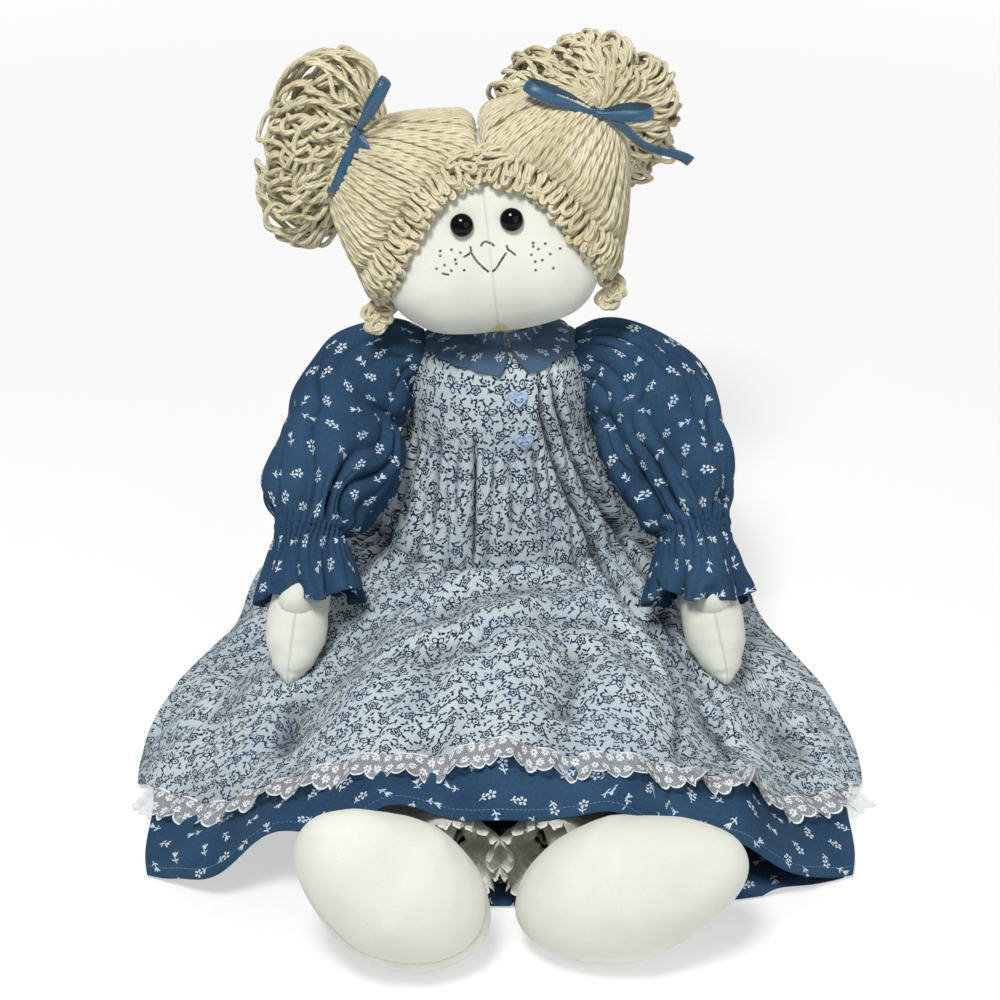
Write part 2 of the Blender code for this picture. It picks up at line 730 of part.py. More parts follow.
def make_hair_cap(name, side, tie, yarn, room=False):
    """The cap of one side or, for cutting its neighbours, that cap grown and filled inward."""
    frame, matrix = tie_frame(tie), head_matrix()
    grow = CLEARANCE if room else 0.0
    margin = HAIR_ROOM_MARGIN if room else 0.0
    depth_share = HAIR_ROOM_DEPTH_SHARE if room else HAIR_SEAT_SHARE
    turns = [2 * math.pi * i / HAIR_TURNS for i in range(HAIR_TURNS)]
    edges = [hair_edge(frame, turn, side) for turn in turns]
    outer, inner = [], []
    for step in range(1, HAIR_STEPS + 1):
        high_row, low_row = [], []
        for i, turn in enumerate(turns):
            beside = (edges[i - 1] + edges[(i + 1) % HAIR_TURNS]) / 2
            reach = min(edges[i], (edges[i] + beside) / 2) + margin
            polar = reach * step / HAIR_STEPS
            ray = frame @ polar_ray(polar, turn)
            low = head_radius(ray) + CLEARANCE
            high_row.append(matrix @ (ray * (low + hair_height(polar) + grow)))
            low_row.append(matrix @ (ray * low * depth_share))
        outer.append(high_row)
        inner.append(low_row)
    return shell_of(name, outer, inner, yarn, shut=True)


def make_hair(room, yarn):
    ties = {"left": LEFT_TIE, "right": RIGHT_TIE}
    tails = {
        "left": (LEFT_TAIL_CENTRE, LEFT_TAIL_HALVES, LEFT_TAIL_LEAN, LEFT_TAIL_LOBE_SHARES),
        "right": (RIGHT_TAIL_CENTRE, RIGHT_TAIL_HALVES, RIGHT_TAIL_LEAN, RIGHT_TAIL_LOBE_SHARES),
    }
    cutters = {}
    for name, side in SIDES:
        cut(make_hair_cap(f"{name}_hair", side, ties[name], yarn), room)
        cutters[name] = make_hair_cap(f"{name}_hair_room", side, ties[name], yarn, room=True)
    for name, side in SIDES:
        tail = make_tail(f"{name}_pigtail", *tails[name], yarn)
        fringe = make_fringe(f"{name}_fringe", side, yarn)
        cut(fringe, room)
        for cutter in cutters.values():
            cut(tail, cutter)
            cut(fringe, cutter)
    return cutters, tails


def tail_radius(halves, lobes):
    def radius(ray):
        base = 1 / math.sqrt(sum((ray[i] / halves[i]) ** 2 for i in range(3)))
        swell = 1.0
        for turn, height, lift, spread in lobes:
            flat = math.sqrt(1 - height * height)
            angle = 2 * math.pi * turn
            middle = Vector((flat * math.cos(angle), 0, height)).normalized()
            away = middle.angle(ray)
            swell += lift * math.exp(-((away / spread) ** 2))
        return base * swell

    return radius


def tail_matrix(centre, lean):
    return Matrix.Translation(centre) @ Matrix.Rotation(lean, 4, "Y")


def make_tail(name, centre, halves, lean, lobes, yarn, grow=0.0):
    shape = tail_radius(halves, lobes)
    return star_solid(
        name, lambda ray: shape(ray) + grow, tail_matrix(centre, lean), yarn, TAIL_SEGMENTS, TAIL_RINGS
    )


def make_fringe(name, side, yarn):
    """A fat roll of loops along the hairline, from the parting down to the jaw."""
    rings = []
    matrix = head_matrix()
    spots = []
    for step in range(FRINGE_STEPS + 1):
        share = HAIR_FACE_TOP_SHARE + (HAIR_LOW_SHARE - HAIR_FACE_TOP_SHARE) * step / FRINGE_STEPS
        wide = HEAD_HALF_WIDTH * smooth_at(FACE_WIDTH_SHARES, share)[0]
        x = side * max(wide, FRINGE_RADIUS + HAIR_PARTING)
        point = face_point(x, share * HEAD_HALF_HEIGHT)
        spots.append(matrix @ (point.normalized() * (point.length + FRINGE_SEAT_SHARE * FRINGE_RADIUS)))
    for i, spot in enumerate(spots):
        along = (spots[min(i + 1, len(spots) - 1)] - spots[max(i - 1, 0)]).normalized()
        out = (spot - HEAD_CENTRE).normalized()
        across = along.cross(out).normalized()
        up = across.cross(along)
        turns = (2 * math.pi * k / FRINGE_SIDES for k in range(FRINGE_SIDES))
        rings.append(
            [spot + (across * math.cos(t) + up * math.sin(t)) * FRINGE_RADIUS for t in turns]
        )
    return solid_of(name, rings, yarn)


# Ribbons

def strip_rings(spots, across):
    """Flat rings along a ribbon whose width lies along across."""
    rings = []
    for i, spot in enumerate(spots):
        along = (spots[min(i + 1, len(spots) - 1)] - spots[max(i - 1, 0)]).normalized()
        wide = (across - along * along.dot(across)).normalized() * (RIBBON_WIDTH / 2)
        thick = along.cross(wide).normalized() * (RIBBON_THICKNESS / 2)
        rings.append([spot + wide + thick, spot - wide + thick, spot - wide - thick, spot + wide - thick])
    return rings


def loop_spots(knot, reach):
    """A flat teardrop that leaves the knot and comes back to it."""
    out = reach.normalized()
    bulge = Vector((0, -1, 0)) - out * -out.y
    bulge.normalize()
    spots = []
    for step in range(BOW_STEPS + 1):
        t = step / BOW_STEPS
        swing = BOW_LOOP_BULGE * math.sin(2 * math.pi * t)
        apart = RIBBON_THICKNESS * (1 - 2 * t)
        spots.append(knot + reach * math.sin(math.pi * t) + bulge * (swing + apart))
    return spots


def tail_spots(knot, reach):
    spots = []
    for step in range(TAIL_STEPS + 1):
        t = step / TAIL_STEPS
        curl = Vector((0, -TAIL_CURL * math.sin(math.pi * t), 0))
        spots.append(knot + reach * t + curl)
    return spots


def make_bow(name, knot, reaches, tails, cutters, satin):
    bow = star_solid(
        name, lambda ray: RIBBON_KNOT, Matrix.Translation(knot), satin, BOW_STEPS, BOW_STEPS // 2
    )
    for i, reach in enumerate(reaches):
        across = reach.cross(Vector((0, 1, 0))).normalized()
        rings = strip_rings(loop_spots(knot, reach), across)
        cut(bow, solid_of(f"{name}_loop_{i}", rings, satin), "UNION")
    for i, reach in enumerate(tails):
        across = reach.cross(Vector((0, 1, 0))).normalized()
        rings = strip_rings(tail_spots(knot, reach), across)
        cut(bow, solid_of(f"{name}_end_{i}", rings, satin), "UNION")
    for cutter in cutters:
        cut(bow, cutter)


def make_bows(hair_cutters, tails, yarn, satin):
    rooms = list(hair_cutters.values())
    for name, _ in SIDES:
        rooms.append(make_tail(f"{name}_pigtail_room", *tails[name], yarn, CLEARANCE))
    make_bow("left_ribbon", LEFT_KNOT, LEFT_BOW_REACHES, LEFT_BOW_TAILS, rooms, satin)
    make_bow("right_ribbon", RIGHT_KNOT, RIGHT_BOW_REACHES, RIGHT_BOW_TAILS, rooms, satin)


# Arms and sleeves

def shifted(stations, side):
    """The stations of one side: the left hand lies a little further out than the right."""
    if side < 0:
        return stations
    rows = []
    for x, y, z, wide, deep in stations:
        share = max(SHOULDER_Z - z, 0.0) / (SHOULDER_Z - ARM_STATIONS[-1][2])
        rows.append((x + LEFT_ARM_SHIFT * share**2, y, z, wide, deep))
    return rows


def make_arm(name, side, muslin, calico, cord, room):
    stations = shifted(ARM_STATIONS, side)
    rings = station_rings(stations, ARM_SIDES, side=side)
    arm = solid_of(f"{name}_arm", rings, muslin)
    x, y, z = stations[THUMB_STATION][:3]
    spot = Vector((side * x, y, z)) + THUMB_OFFSET
    halves = THUMB_HALVES
    thumb = star_solid(
        f"{name}_thumb",
        lambda ray: 1 / math.sqrt(sum((ray[i] / halves[i]) ** 2 for i in range(3))),
        Matrix.Translation(spot),
        muslin,
        ARM_SIDES,
        ARM_SIDES // 2,
    )
    cut(arm, thumb, "UNION")

    stations = shifted(SLEEVE_STATIONS, side)
    outer = station_rings(stations, SLEEVE_SIDES, side=side)
    inner = station_rings(stations, SLEEVE_SIDES, -CLOTH, side=side)
    sleeve = shell_of(f"{name}_sleeve", outer, inner, calico)
    cut(sleeve, room)

    wide = stations[ELASTIC_STATION][3]
    before, at, after = (sum(outer[ELASTIC_STATION + i], Vector()) for i in (-1, 0, 1))
    centre = at / SLEEVE_SIDES
    along = (after - before).normalized()
    ring_radius = wide - CLOTH - CLEARANCE - ELASTIC_RADIUS
    matrix = Matrix.Translation(centre) @ along.to_track_quat("Z", "Y").to_matrix().to_4x4()
    profile = [(ring_radius + ELASTIC_RADIUS, h) for h in (-ELASTIC_RADIUS, ELASTIC_RADIUS)]
    outer = [turned_ring(matrix, r, h, ELASTIC_SIDES) for r, h in profile]
    inner = [turned_ring(matrix, r - 2 * ELASTIC_RADIUS, h, ELASTIC_SIDES) for r, h in profile]
    shell_of(f"{name}_sleeve_elastic", outer, inner, cord)


# Legs and pantaloons

def make_leg(name, side, muslin, white, lace):
    left = side > 0
    half_length = LEFT_FOOT_HALF_LENGTH if left else RIGHT_FOOT_HALF_LENGTH
    fall = LEFT_FOOT_FALL if left else RIGHT_FOOT_FALL
    x = LEFT_FOOT_CENTRE_X if left else RIGHT_FOOT_CENTRE_X
    y = LEFT_FOOT_CENTRE_Y if left else RIGHT_FOOT_CENTRE_Y
    toe = Vector((side * math.sin(fall), 0, math.cos(fall)))
    sole = Vector((0, -1, 0))
    wide = toe.cross(sole)
    turn = Matrix((wide, sole, toe)).transposed()

    def radius(ray):
        narrow = 1 - TOE_TAPER_SHARE * max(ray.z, 0)
        total = (
            (ray.x / (FOOT_HALF_WIDTH * narrow)) ** 2
            + (ray.y / (FOOT_HALF_DEPTH * narrow)) ** 2
            + (ray.z / half_length) ** 2
        )
        return 1 / math.sqrt(total)

    drop = math.hypot(half_length * math.cos(fall), FOOT_HALF_WIDTH * math.sin(fall))
    matrix = Matrix.Translation((side * x, y, drop - FOOT_FLAT)) @ turn.to_4x4()
    leg = star_solid(f"{name}_leg", radius, matrix, muslin, FOOT_SEGMENTS, FOOT_RINGS)
    for vertex in leg.data.vertices:
        vertex.co.z = max(vertex.co.z, 0.0)
    root_y = seat_front(LEG_ROOT_X - LEG_ROOT_HALF_WIDTH, HIP_Z) - CLEARANCE
    root = (LEG_ROOT_X, root_y, HIP_Z, LEG_ROOT_HALF_WIDTH, LEG_ROOT_HALF_HEIGHT)
    rings = station_rings((root, *LEG_STATIONS), LEG_SIDES, side=side)
    shank = solid_of(f"{name}_shank", rings, muslin)
    cut(leg, shank, "UNION")

    outer = station_rings(PANTALOON_STATIONS, PANTALOON_SIDES, side=side)
    inner = station_rings(PANTALOON_STATIONS, PANTALOON_SIDES, -CLOTH, side=side)
    shell_of(f"{name}_pantaloon", outer, inner, white)
    outer = station_rings(CUFF_STATIONS, PANTALOON_SIDES, side=side)
    inner = station_rings(CUFF_STATIONS, PANTALOON_SIDES, -CLOTH, side=side)
    shell_of(f"{name}_pantaloon_lace", outer, inner, lace)


# Skirts

def skirt_run(y):
    return (SKIRT_BACK_Y - y) / (SKIRT_BACK_Y - SKIRT_HEM_Y)


def skirt_section(y, tuck):
    """Half width, and height at each share of it, of the skirt's outer face at this y."""
    width, peak, power, fullness = smooth_at(SKIRT_RUN_SHARES, skirt_run(y))
    half_width = SKIRT_HALF_WIDTH * width - tuck
    rise = SKIRT_PEAK * peak - SKIRT_EDGE
    folds = FOLD_HEIGHT * smooth_at(FOLD_SHARES, skirt_run(y))[0]

    def height(share):
        crown = max(1 - abs(share) ** power, 0.0) ** fullness
        wave = folds * math.cos(math.pi * FOLD_COUNT * share) * (1 - share**4)
        return max(SKIRT_EDGE + rise * crown + wave, SKIRT_EDGE) - tuck

    return half_width, height


def skirt_ring(y_at, tuck, base, inset=0.0, forward=0.0):
    """One ring of a skirt, over the top and back along the floor. y_at gives each share's y,
    and forward draws the ring in from the skirt's back."""
    ring = []
    for i in range(SKIRT_TOP_STEPS + 1):
        share = 2 * i / SKIRT_TOP_STEPS - 1
        y = y_at(share)
        half_width, height = skirt_section(y, tuck)
        x, z = share * (half_width - inset), height(share) - inset
        ring.append(Vector((x, y - forward, z)))
    for i in range(SKIRT_FLOOR_STEPS + 1):
        share = 1 - 2 * i / SKIRT_FLOOR_STEPS
        y = y_at(share)
        half_width, _ = skirt_section(y, tuck)
        ring.append(Vector((share * (half_width - inset), y - forward, base + inset)))
    return ring


def hem_run(start, hem_y, draw, v):
    """The y of each share at v of the way from a straight start to the curved hem."""
    return lambda share: start + (hem_y + draw * abs(share) ** HEM_CURVE_POWER - start) * v


def make_skirt(name, tuck, base, hem_y, draw, look, room):
    """The front part, which goes with the legs, and the back part, which stays put."""
    steps = [i / SKIRT_FRONT_STEPS for i in range(SKIRT_FRONT_STEPS + 1)]
    runs = [hem_run(SKIRT_SPLIT_Y, hem_y, draw, v) for v in steps]
    outer = [skirt_ring(run, tuck, base) for run in runs]
    inner = [skirt_ring(run, tuck, base, CLOTH) for run in runs]
    shell_of(f"{name}_front", outer, inner, look)

    end = SKIRT_SPLIT_Y + CLEARANCE
    outer, inner = [], []
    for run in SKIRT_BACK_RUN_SHARES:
        y = SKIRT_BACK_Y + (end - SKIRT_BACK_Y) * run
        drawn = tuck * (1 - run)
        outer.append(skirt_ring(lambda share, y=y: y, tuck, base, 0.0, drawn))
        drawn += CLOTH * (1 - run)
        inner.append(skirt_ring(lambda share, y=y: y, tuck, base, CLOTH, drawn))
    cut(shell_of(f"{name}_back", outer, inner, look, shut=True), room)


def make_lace(lace):
    """The gathered lace that goes on from the pinafore's hem."""
    steps = (0.0, 0.5, 1.0)
    outer, inner = [], []
    for step in steps:
        hem_y = PINAFORE_HEM_Y - CLEARANCE - (LACE_WIDTH - CLEARANCE) * step
        run = hem_run(0.0, hem_y, PINAFORE_HEM_DRAW, 1.0)
        outer.append(skirt_ring(run, 0.0, 0.0))
        inner.append(skirt_ring(run, 0.0, 0.0, CLOTH))
    shell_of("pinafore_lace", outer, inner, lace)


def bodice_room(name, grow, look):
    """The bodice's outside, grown by its clearance, which the skirt and sleeves fit round."""
    shares = (BODICE_ROOM_LOW_SHARE, *sorted({*BODICE_RING_SHARES, *PINAFORE_RING_SHARES}))
    rings = [torso_ring(share, grow(share) + CLEARANCE) for share in shares]
    return solid_of(name, rings, look)


# Buttons

def heart_outline():
    """A heart of unit width, from its lower point round and back."""
    points = []
    for i in range(BUTTON_POINTS):
        t = math.pi + 2 * math.pi * i / BUTTON_POINTS
        x = 16 * math.sin(t) ** 3
        y = 13 * math.cos(t) - 5 * math.cos(2 * t) - 2 * math.cos(3 * t) - math.cos(4 * t)
        points.append((x / 32, (y + 2.5) / 32))
    return points


def make_button(name, height, shift, pale, cotton):
    share = torso_share(height)
    turn = -math.acos(shift / TORSO_HALF_WIDTH)
    spot = torso_point(turn, share, pinafore_grow(share) + CLEARANCE)
    higher = share + BUTTON_WIDTH / TORSO_HEIGHT
    above = torso_point(turn, higher, pinafore_grow(higher) + CLEARANCE)
    further = turn + BUTTON_WIDTH / TORSO_HALF_WIDTH
    beside = torso_point(further, share, pinafore_grow(share) + CLEARANCE)
    up = (above - spot).normalized()
    across = (beside - spot).normalized()
    out = across.cross(up).normalized()
    up = out.cross(across).normalized()
    matrix = Matrix.Translation(spot) @ Matrix((across, up, out)).transposed().to_4x4()

    outline = [(BUTTON_WIDTH * x, BUTTON_WIDTH * y) for x, y in heart_outline()]
    rings = []
    for scale, rise in BUTTON_EDGE_SHARES:
        rings.append([matrix @ Vector((x * scale, y * scale, BUTTON_THICKNESS * rise)) for x, y in outline])
    button = solid_of(name, rings, pale)
    for i, side in enumerate((-1, 1)):
        hole = matrix @ Matrix.Translation((side * BUTTON_HOLE_SPREAD, 0, 0))
        ends = (-OVERRUN, OVERRUN)
        rings = [turned_ring(hole, BUTTON_HOLE_RADIUS, end, HOLE_SIDES) for end in ends]
        cut(button, solid_of(f"{name}_hole_{i}", rings, pale))
    make_thread(f"{name}_thread", matrix, cotton)


def make_thread(name, matrix, cotton):
    """A stitch that comes up through one hole and goes down the other."""
    top = BUTTON_THICKNESS + CLEARANCE + THREAD_RADIUS
    route = (
        (-BUTTON_HOLE_SPREAD, 0.0),
        (-BUTTON_HOLE_SPREAD, BUTTON_THICKNESS),
        (-BUTTON_HOLE_SPREAD * THREAD_TOP_SHARE, top),
        (BUTTON_HOLE_SPREAD * THREAD_TOP_SHARE, top),
        (BUTTON_HOLE_SPREAD, BUTTON_THICKNESS),
        (BUTTON_HOLE_SPREAD, 0.0),
    )
    spots = [Vector((x, 0, z)) for x, z in route]
    rings = []
    for i, spot in enumerate(spots):
        along = (spots[min(i + 1, len(spots) - 1)] - spots[max(i - 1, 0)]).normalized()
        up = Vector((0, 1, 0))
        across = along.cross(up)
        turns = (2 * math.pi * k / THREAD_SIDES for k in range(THREAD_SIDES))
        ring = [spot + (across * math.cos(t) + up * math.sin(t)) * THREAD_RADIUS for t in turns]
        rings.append([matrix @ point for point in ring])
    solid_of(name, rings, cotton)


def main():
    clear_scene()
    muslin = material("muslin", MUSLIN, 0.9)
    yarn = material("yarn", YARN, 0.95)
    calico = material("blue_calico", BLUE_CALICO, 0.85)
    white_print = material("white_print", WHITE_PRINT, 0.85)
    white = material("white_cotton", WHITE_LACE, 0.85)
    lace = material("lace", WHITE_LACE, 0.8)
    satin = material("satin", SATIN, 0.4)
    black = material("black_plastic", BLACK_PLASTIC, 0.08)
    nylon = material("white_nylon", WHITE_LACE, 0.5)
    pale = material("pale_blue_plastic", PALE_BLUE, 0.3)
    cotton = material("cotton_thread", WHITE_LACE, 0.8)

    make_torso(muslin, calico, white_print, white)
    make_collar(calico)
    room = make_head_room(muslin)
    make_head(room, muslin, black, nylon)
    cutters, tails = make_hair(room, yarn)
    make_bows(cutters, tails, yarn, satin)

    pinafore_room = bodice_room("pinafore_room", pinafore_grow, calico)
    dress_room = bodice_room("dress_room", lambda share: CLEARANCE + CLOTH, calico)
    collar_room = bodice_room("collar_room", collar_grow, calico)
    for name, side in SIDES:
        make_arm(name, side, muslin, calico, cotton, collar_room)
        make_leg(name, side, muslin, white, lace)
    make_skirt(
        "pinafore_skirt", 0.0, 0.0, PINAFORE_HEM_Y, PINAFORE_HEM_DRAW, white_print, pinafore_room
    )
    make_skirt(
        "dress_skirt",
        CLOTH + LAYER_GAP,
        CLOTH + CLEARANCE,
        SKIRT_HEM_Y,
        SKIRT_HEM_DRAW,
        calico,
        dress_room,
    )
    make_lace(lace)
    for name, height in BUTTON_HEIGHTS:
        make_button(name, height, BUTTON_SHIFTS[name], pale, cotton)


main()
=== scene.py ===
"""The dressed rag doll: muslin, yarn, calico, printed cotton, lace, satin and plastic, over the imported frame."""

import math
import random

import bpy
import numpy as np
from mathutils import Matrix, Vector
from mathutils.bvhtree import BVHTree


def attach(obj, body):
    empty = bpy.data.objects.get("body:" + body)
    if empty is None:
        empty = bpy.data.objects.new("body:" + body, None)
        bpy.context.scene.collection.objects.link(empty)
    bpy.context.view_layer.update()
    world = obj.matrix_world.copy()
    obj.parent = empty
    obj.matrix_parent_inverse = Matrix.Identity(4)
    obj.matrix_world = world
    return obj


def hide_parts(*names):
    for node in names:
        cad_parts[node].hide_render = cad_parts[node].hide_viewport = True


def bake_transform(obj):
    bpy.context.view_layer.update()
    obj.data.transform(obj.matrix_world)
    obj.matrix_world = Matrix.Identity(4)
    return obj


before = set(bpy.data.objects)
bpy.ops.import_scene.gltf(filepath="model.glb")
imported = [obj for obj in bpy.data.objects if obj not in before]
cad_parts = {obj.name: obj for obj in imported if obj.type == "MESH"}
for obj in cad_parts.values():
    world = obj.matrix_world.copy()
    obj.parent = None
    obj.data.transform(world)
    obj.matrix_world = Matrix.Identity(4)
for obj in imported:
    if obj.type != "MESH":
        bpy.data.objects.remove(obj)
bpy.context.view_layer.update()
scene = bpy.context.scene
scene.view_settings.view_transform = "Standard"

# Camera and light

PHOTO_TILT = math.radians(33)
PHOTO_AIM = Vector((0.0, -0.07, 0.13))
PHOTO_DISTANCE = 1.12
PHOTO_LENS_PER_WIDTH = 2.2


def place_camera():
    lens = bpy.data.cameras.new("photo_camera")
    lens.sensor_width = 36
    lens.lens = 36 * PHOTO_LENS_PER_WIDTH
    lens.clip_end = 50
    camera = bpy.data.objects.new("photo_camera", lens)
    scene.collection.objects.link(camera)
    away = Vector((0, -math.cos(PHOTO_TILT), math.sin(PHOTO_TILT)))
    camera.location = PHOTO_AIM + away * PHOTO_DISTANCE
    camera.rotation_euler = (-away).to_track_quat("-Z", "Y").to_euler()
    scene.camera = camera


def softbox(name, place, size, watts):
    lamp = bpy.data.lights.new(name, "AREA")
    lamp.shape = "RECTANGLE"
    lamp.size, lamp.size_y = size
    lamp.energy = watts
    box = bpy.data.objects.new(name, lamp)
    scene.collection.objects.link(box)
    box.location = place
    box.rotation_euler = (PHOTO_AIM - Vector(place)).to_track_quat("-Z", "Y").to_euler()


# Shaders written as sums


class Value:
    """A socket that adds its own Math nodes when it is used in a sum."""

    def __init__(self, look, socket):
        self.look, self.socket = look, socket

    def math(self, operation, *others, clamp=False):
        settings = {"operation": operation, "use_clamp": clamp}
        return self.look.add("Math", settings, *((self,) + others))

    def __add__(self, other):
        return self.math("ADD", other)

    __radd__ = __add__

    def __sub__(self, other):
        return self.math("SUBTRACT", other)

    def __rsub__(self, other):
        return self.look.add("Math", {"operation": "SUBTRACT"}, other, self)

    def __mul__(self, other):
        return self.math("MULTIPLY", other)

    __rmul__ = __mul__

    def __truediv__(self, other):
        return self.math("DIVIDE", other)

    def __pow__(self, other):
        return self.math("POWER", other)

    def __abs__(self):
        return self.math("ABSOLUTE")

    def __lt__(self, other):
        return self.math("LESS_THAN", other)

    def __gt__(self, other):
        return self.math("GREATER_THAN", other)

    def least(self, other):
        return self.math("MINIMUM", other)

    def most(self, other):
        return self.math("MAXIMUM", other)

    def held(self):
        return self.math("ADD", 0.0, clamp=True)

    def step(self, low, high):
        """0 below low, 1 above high, smooth between."""
        kinds = {"interpolation_type": "SMOOTHSTEP"}
        return self.look.add("MapRange", kinds, Value=self, **{"From Min": low, "From Max": high})


class Look:
    """One procedural material."""

    def __init__(self, name):
        self.material = bpy.data.materials.new(name)
        self.material.use_nodes = True
        self.tree = self.material.node_tree
        self.shader = self.tree.nodes["Principled BSDF"]

    def add(self, kind, settings=None, *values, out=0, **named):
        node = self.tree.nodes.new("ShaderNode" + kind)
        for key, value in (settings or {}).items():
            setattr(node, key, value)
        for i, value in enumerate(values):
            self.feed(node.inputs[i], value)
        for key, value in named.items():
            self.feed(node.inputs[key], value)
        return Value(self, node.outputs[out])

    def feed(self, socket, value):
        if isinstance(value, Value):
            self.tree.links.new(value.socket, socket)
        else:
            socket.default_value = value

    def set(self, **values):
        for key, value in values.items():
            self.feed(self.shader.inputs[key.replace("_", " ")], value)

    def place(self, name="Cloth"):
        """The two numbers of a UV map, in metres."""
        spot = self.add("UVMap", {"uv_map": name})
        parts = self.tree.nodes.new("ShaderNodeSeparateXYZ")
        self.feed(parts.inputs[0], spot)
        return Value(self, parts.outputs[0]), Value(self, parts.outputs[1])

    def spot(self):
        """The place in the row's frame, at rest."""
        return self.add("TexCoord", None, out=3)

    def apart(self, vector):
        parts = self.tree.nodes.new("ShaderNodeSeparateXYZ")
        self.feed(parts.inputs[0], vector)
        return [Value(self, parts.outputs[i]) for i in range(3)]

    def join(self, x, y, z=0.0):
        return self.add("CombineXYZ", None, x, y, z)

    def kept(self, name):
        """A number kept on the piece's points, or 0."""
        return self.add("Attribute", {"attribute_name": name}, out=2)

    def noise(self, vector, scale, detail=2.0, rough=0.5):
        """Noise from 0 to 1."""
        named = {"Vector": vector, "Scale": scale, "Detail": detail, "Roughness": rough}
        return self.add("TexNoise", None, **named)

    def mix(self, share, first, second):
        node = self.tree.nodes.new("ShaderNodeMix")
        node.data_type = "RGBA"
        for key, value in ((0, share), (6, first), (7, second)):
            self.feed(node.inputs[key], value)
        return Value(self, node.outputs[2])

    def bump(self, height, distance, strength=1.0, under=None):
        named = {"Height": height, "Distance": distance, "Strength": strength}
        if under is not None:
            named["Normal"] = under
        return self.add("Bump", None, **named)


def rgb(red, green, blue):
    """A colour as a picture shows it, 0 to 255, for a shader."""
    parts = []
    for part in (red, green, blue):
        part /= 255
        parts.append(part / 12.92 if part < 0.04045 else ((part + 0.055) / 1.055) ** 2.4)
    return (*parts, 1.0)


def scattered(look, u, v, pitch, drop=0.5, stray=0.2, seed=0.0):
    """Places measured from the middles of scattered, turned cells, and two picks for each."""
    across, up = u / pitch, v / pitch
    row = up.math("FLOOR")
    across = across + row.math("MODULO", 2.0) * drop
    column = across.math("FLOOR")
    chance = look.add(
        "TexWhiteNoise", {"noise_dimensions": "3D"}, Vector=look.join(column, row, seed), out=1
    )
    first, second, third = look.apart(chance)
    x = across - column - 0.5 - (second - 0.5) * stray
    y = up - row - 0.5 - (third - 0.5) * stray
    turn = first * math.tau
    cosine, sine = turn.math("COSINE"), turn.math("SINE")
    return (x * cosine + y * sine) * pitch, (y * cosine - x * sine) * pitch, second, third


def oval(x, y, middle, halves, turn=0.0):
    """Less than 1 inside an oval."""
    across, up = x - middle[0], y - middle[1]
    cosine, sine = math.cos(turn), math.sin(turn)
    along = (across * cosine + up * sine) / halves[0]
    beside = (up * cosine - across * sine) / halves[1]
    return along * along + beside * beside


def any_of(*marks):
    total = marks[0]
    for mark in marks[1:]:
        total = total.most(mark)
    return total


def near_line(x, y, points):
    """How far a place is from a line through these points."""
    nearest = None
    for (ax, ay), (bx, by) in zip(points, points[1:]):
        ex, ey = bx - ax, by - ay
        along = ((x - ax) * ex + (y - ay) * ey) / (ex * ex + ey * ey)
        along = along.held()
        dx, dy = x - ax - along * ex, y - ay - along * ey
        away = dx * dx + dy * dy
        nearest = away if nearest is None else nearest.least(away)
    return nearest.math("SQRT")


def weave(look, u, v, thread, strength=0.25):
    """The over and under of a plain weave, as a bump."""
    across = (u * (math.pi / thread)).math("SINE")
    along = (v * (math.pi / thread)).math("SINE")
    return look.bump(across * along, thread * 0.5, strength)


# Cloth looks

MM = 0.001
# What 1 stands for in the drawing of each print, in metres
SPRIG_UNIT = 0.00132
DITSY_UNIT = 0.00124
# How far up the dress's hem is stitched, and the length of a stitch with its gap
HEM_STITCH_UP = 0.0062
HEM_STITCH_LENGTH = 0.0022


def sprigs(look, u, v, pitch, seed):
    """Small tulips and daisies on stems, turned at random."""
    x, y, pick, _ = scattered(look, u, v, pitch, stray=0.3, seed=seed)
    x, y = x / SPRIG_UNIT, y / SPRIG_UNIT
    away = (x * x + (y - 1.2) * (y - 1.2)).math("SQRT")
    petal = abs(((y - 1.2).math("ARCTAN2", x) * 2.5).math("COSINE"))
    daisy = (away < petal * 1.25 + 0.75) * (petal > 0.55) * (away > 0.55)
    tulip = any_of(
        oval(x, y, (0.0, 1.5), (0.36, 1.15)) < 1,
        oval(x, y, (-0.75, 1.45), (1.15, 0.34), 2.05) < 1,
        oval(x, y, (0.75, 1.45), (1.15, 0.34), 1.09) < 1,
        oval(x, y, (0.0, 0.4), (0.6, 0.4)) < 1,
    )
    stalk = any_of(
        near_line(x, y, ((0.1, -0.4), (0.0, -1.9), (-0.6, -3.2))) < 0.19,
        oval(x, y, (0.8, -1.7), (0.95, 0.32), 0.6) < 1,
        oval(x, y, (-0.9, -1.5), (0.85, 0.30), 2.5) < 1,
    )
    return any_of(daisy * (pick > 0.5), tulip * (pick < 0.5), stalk)


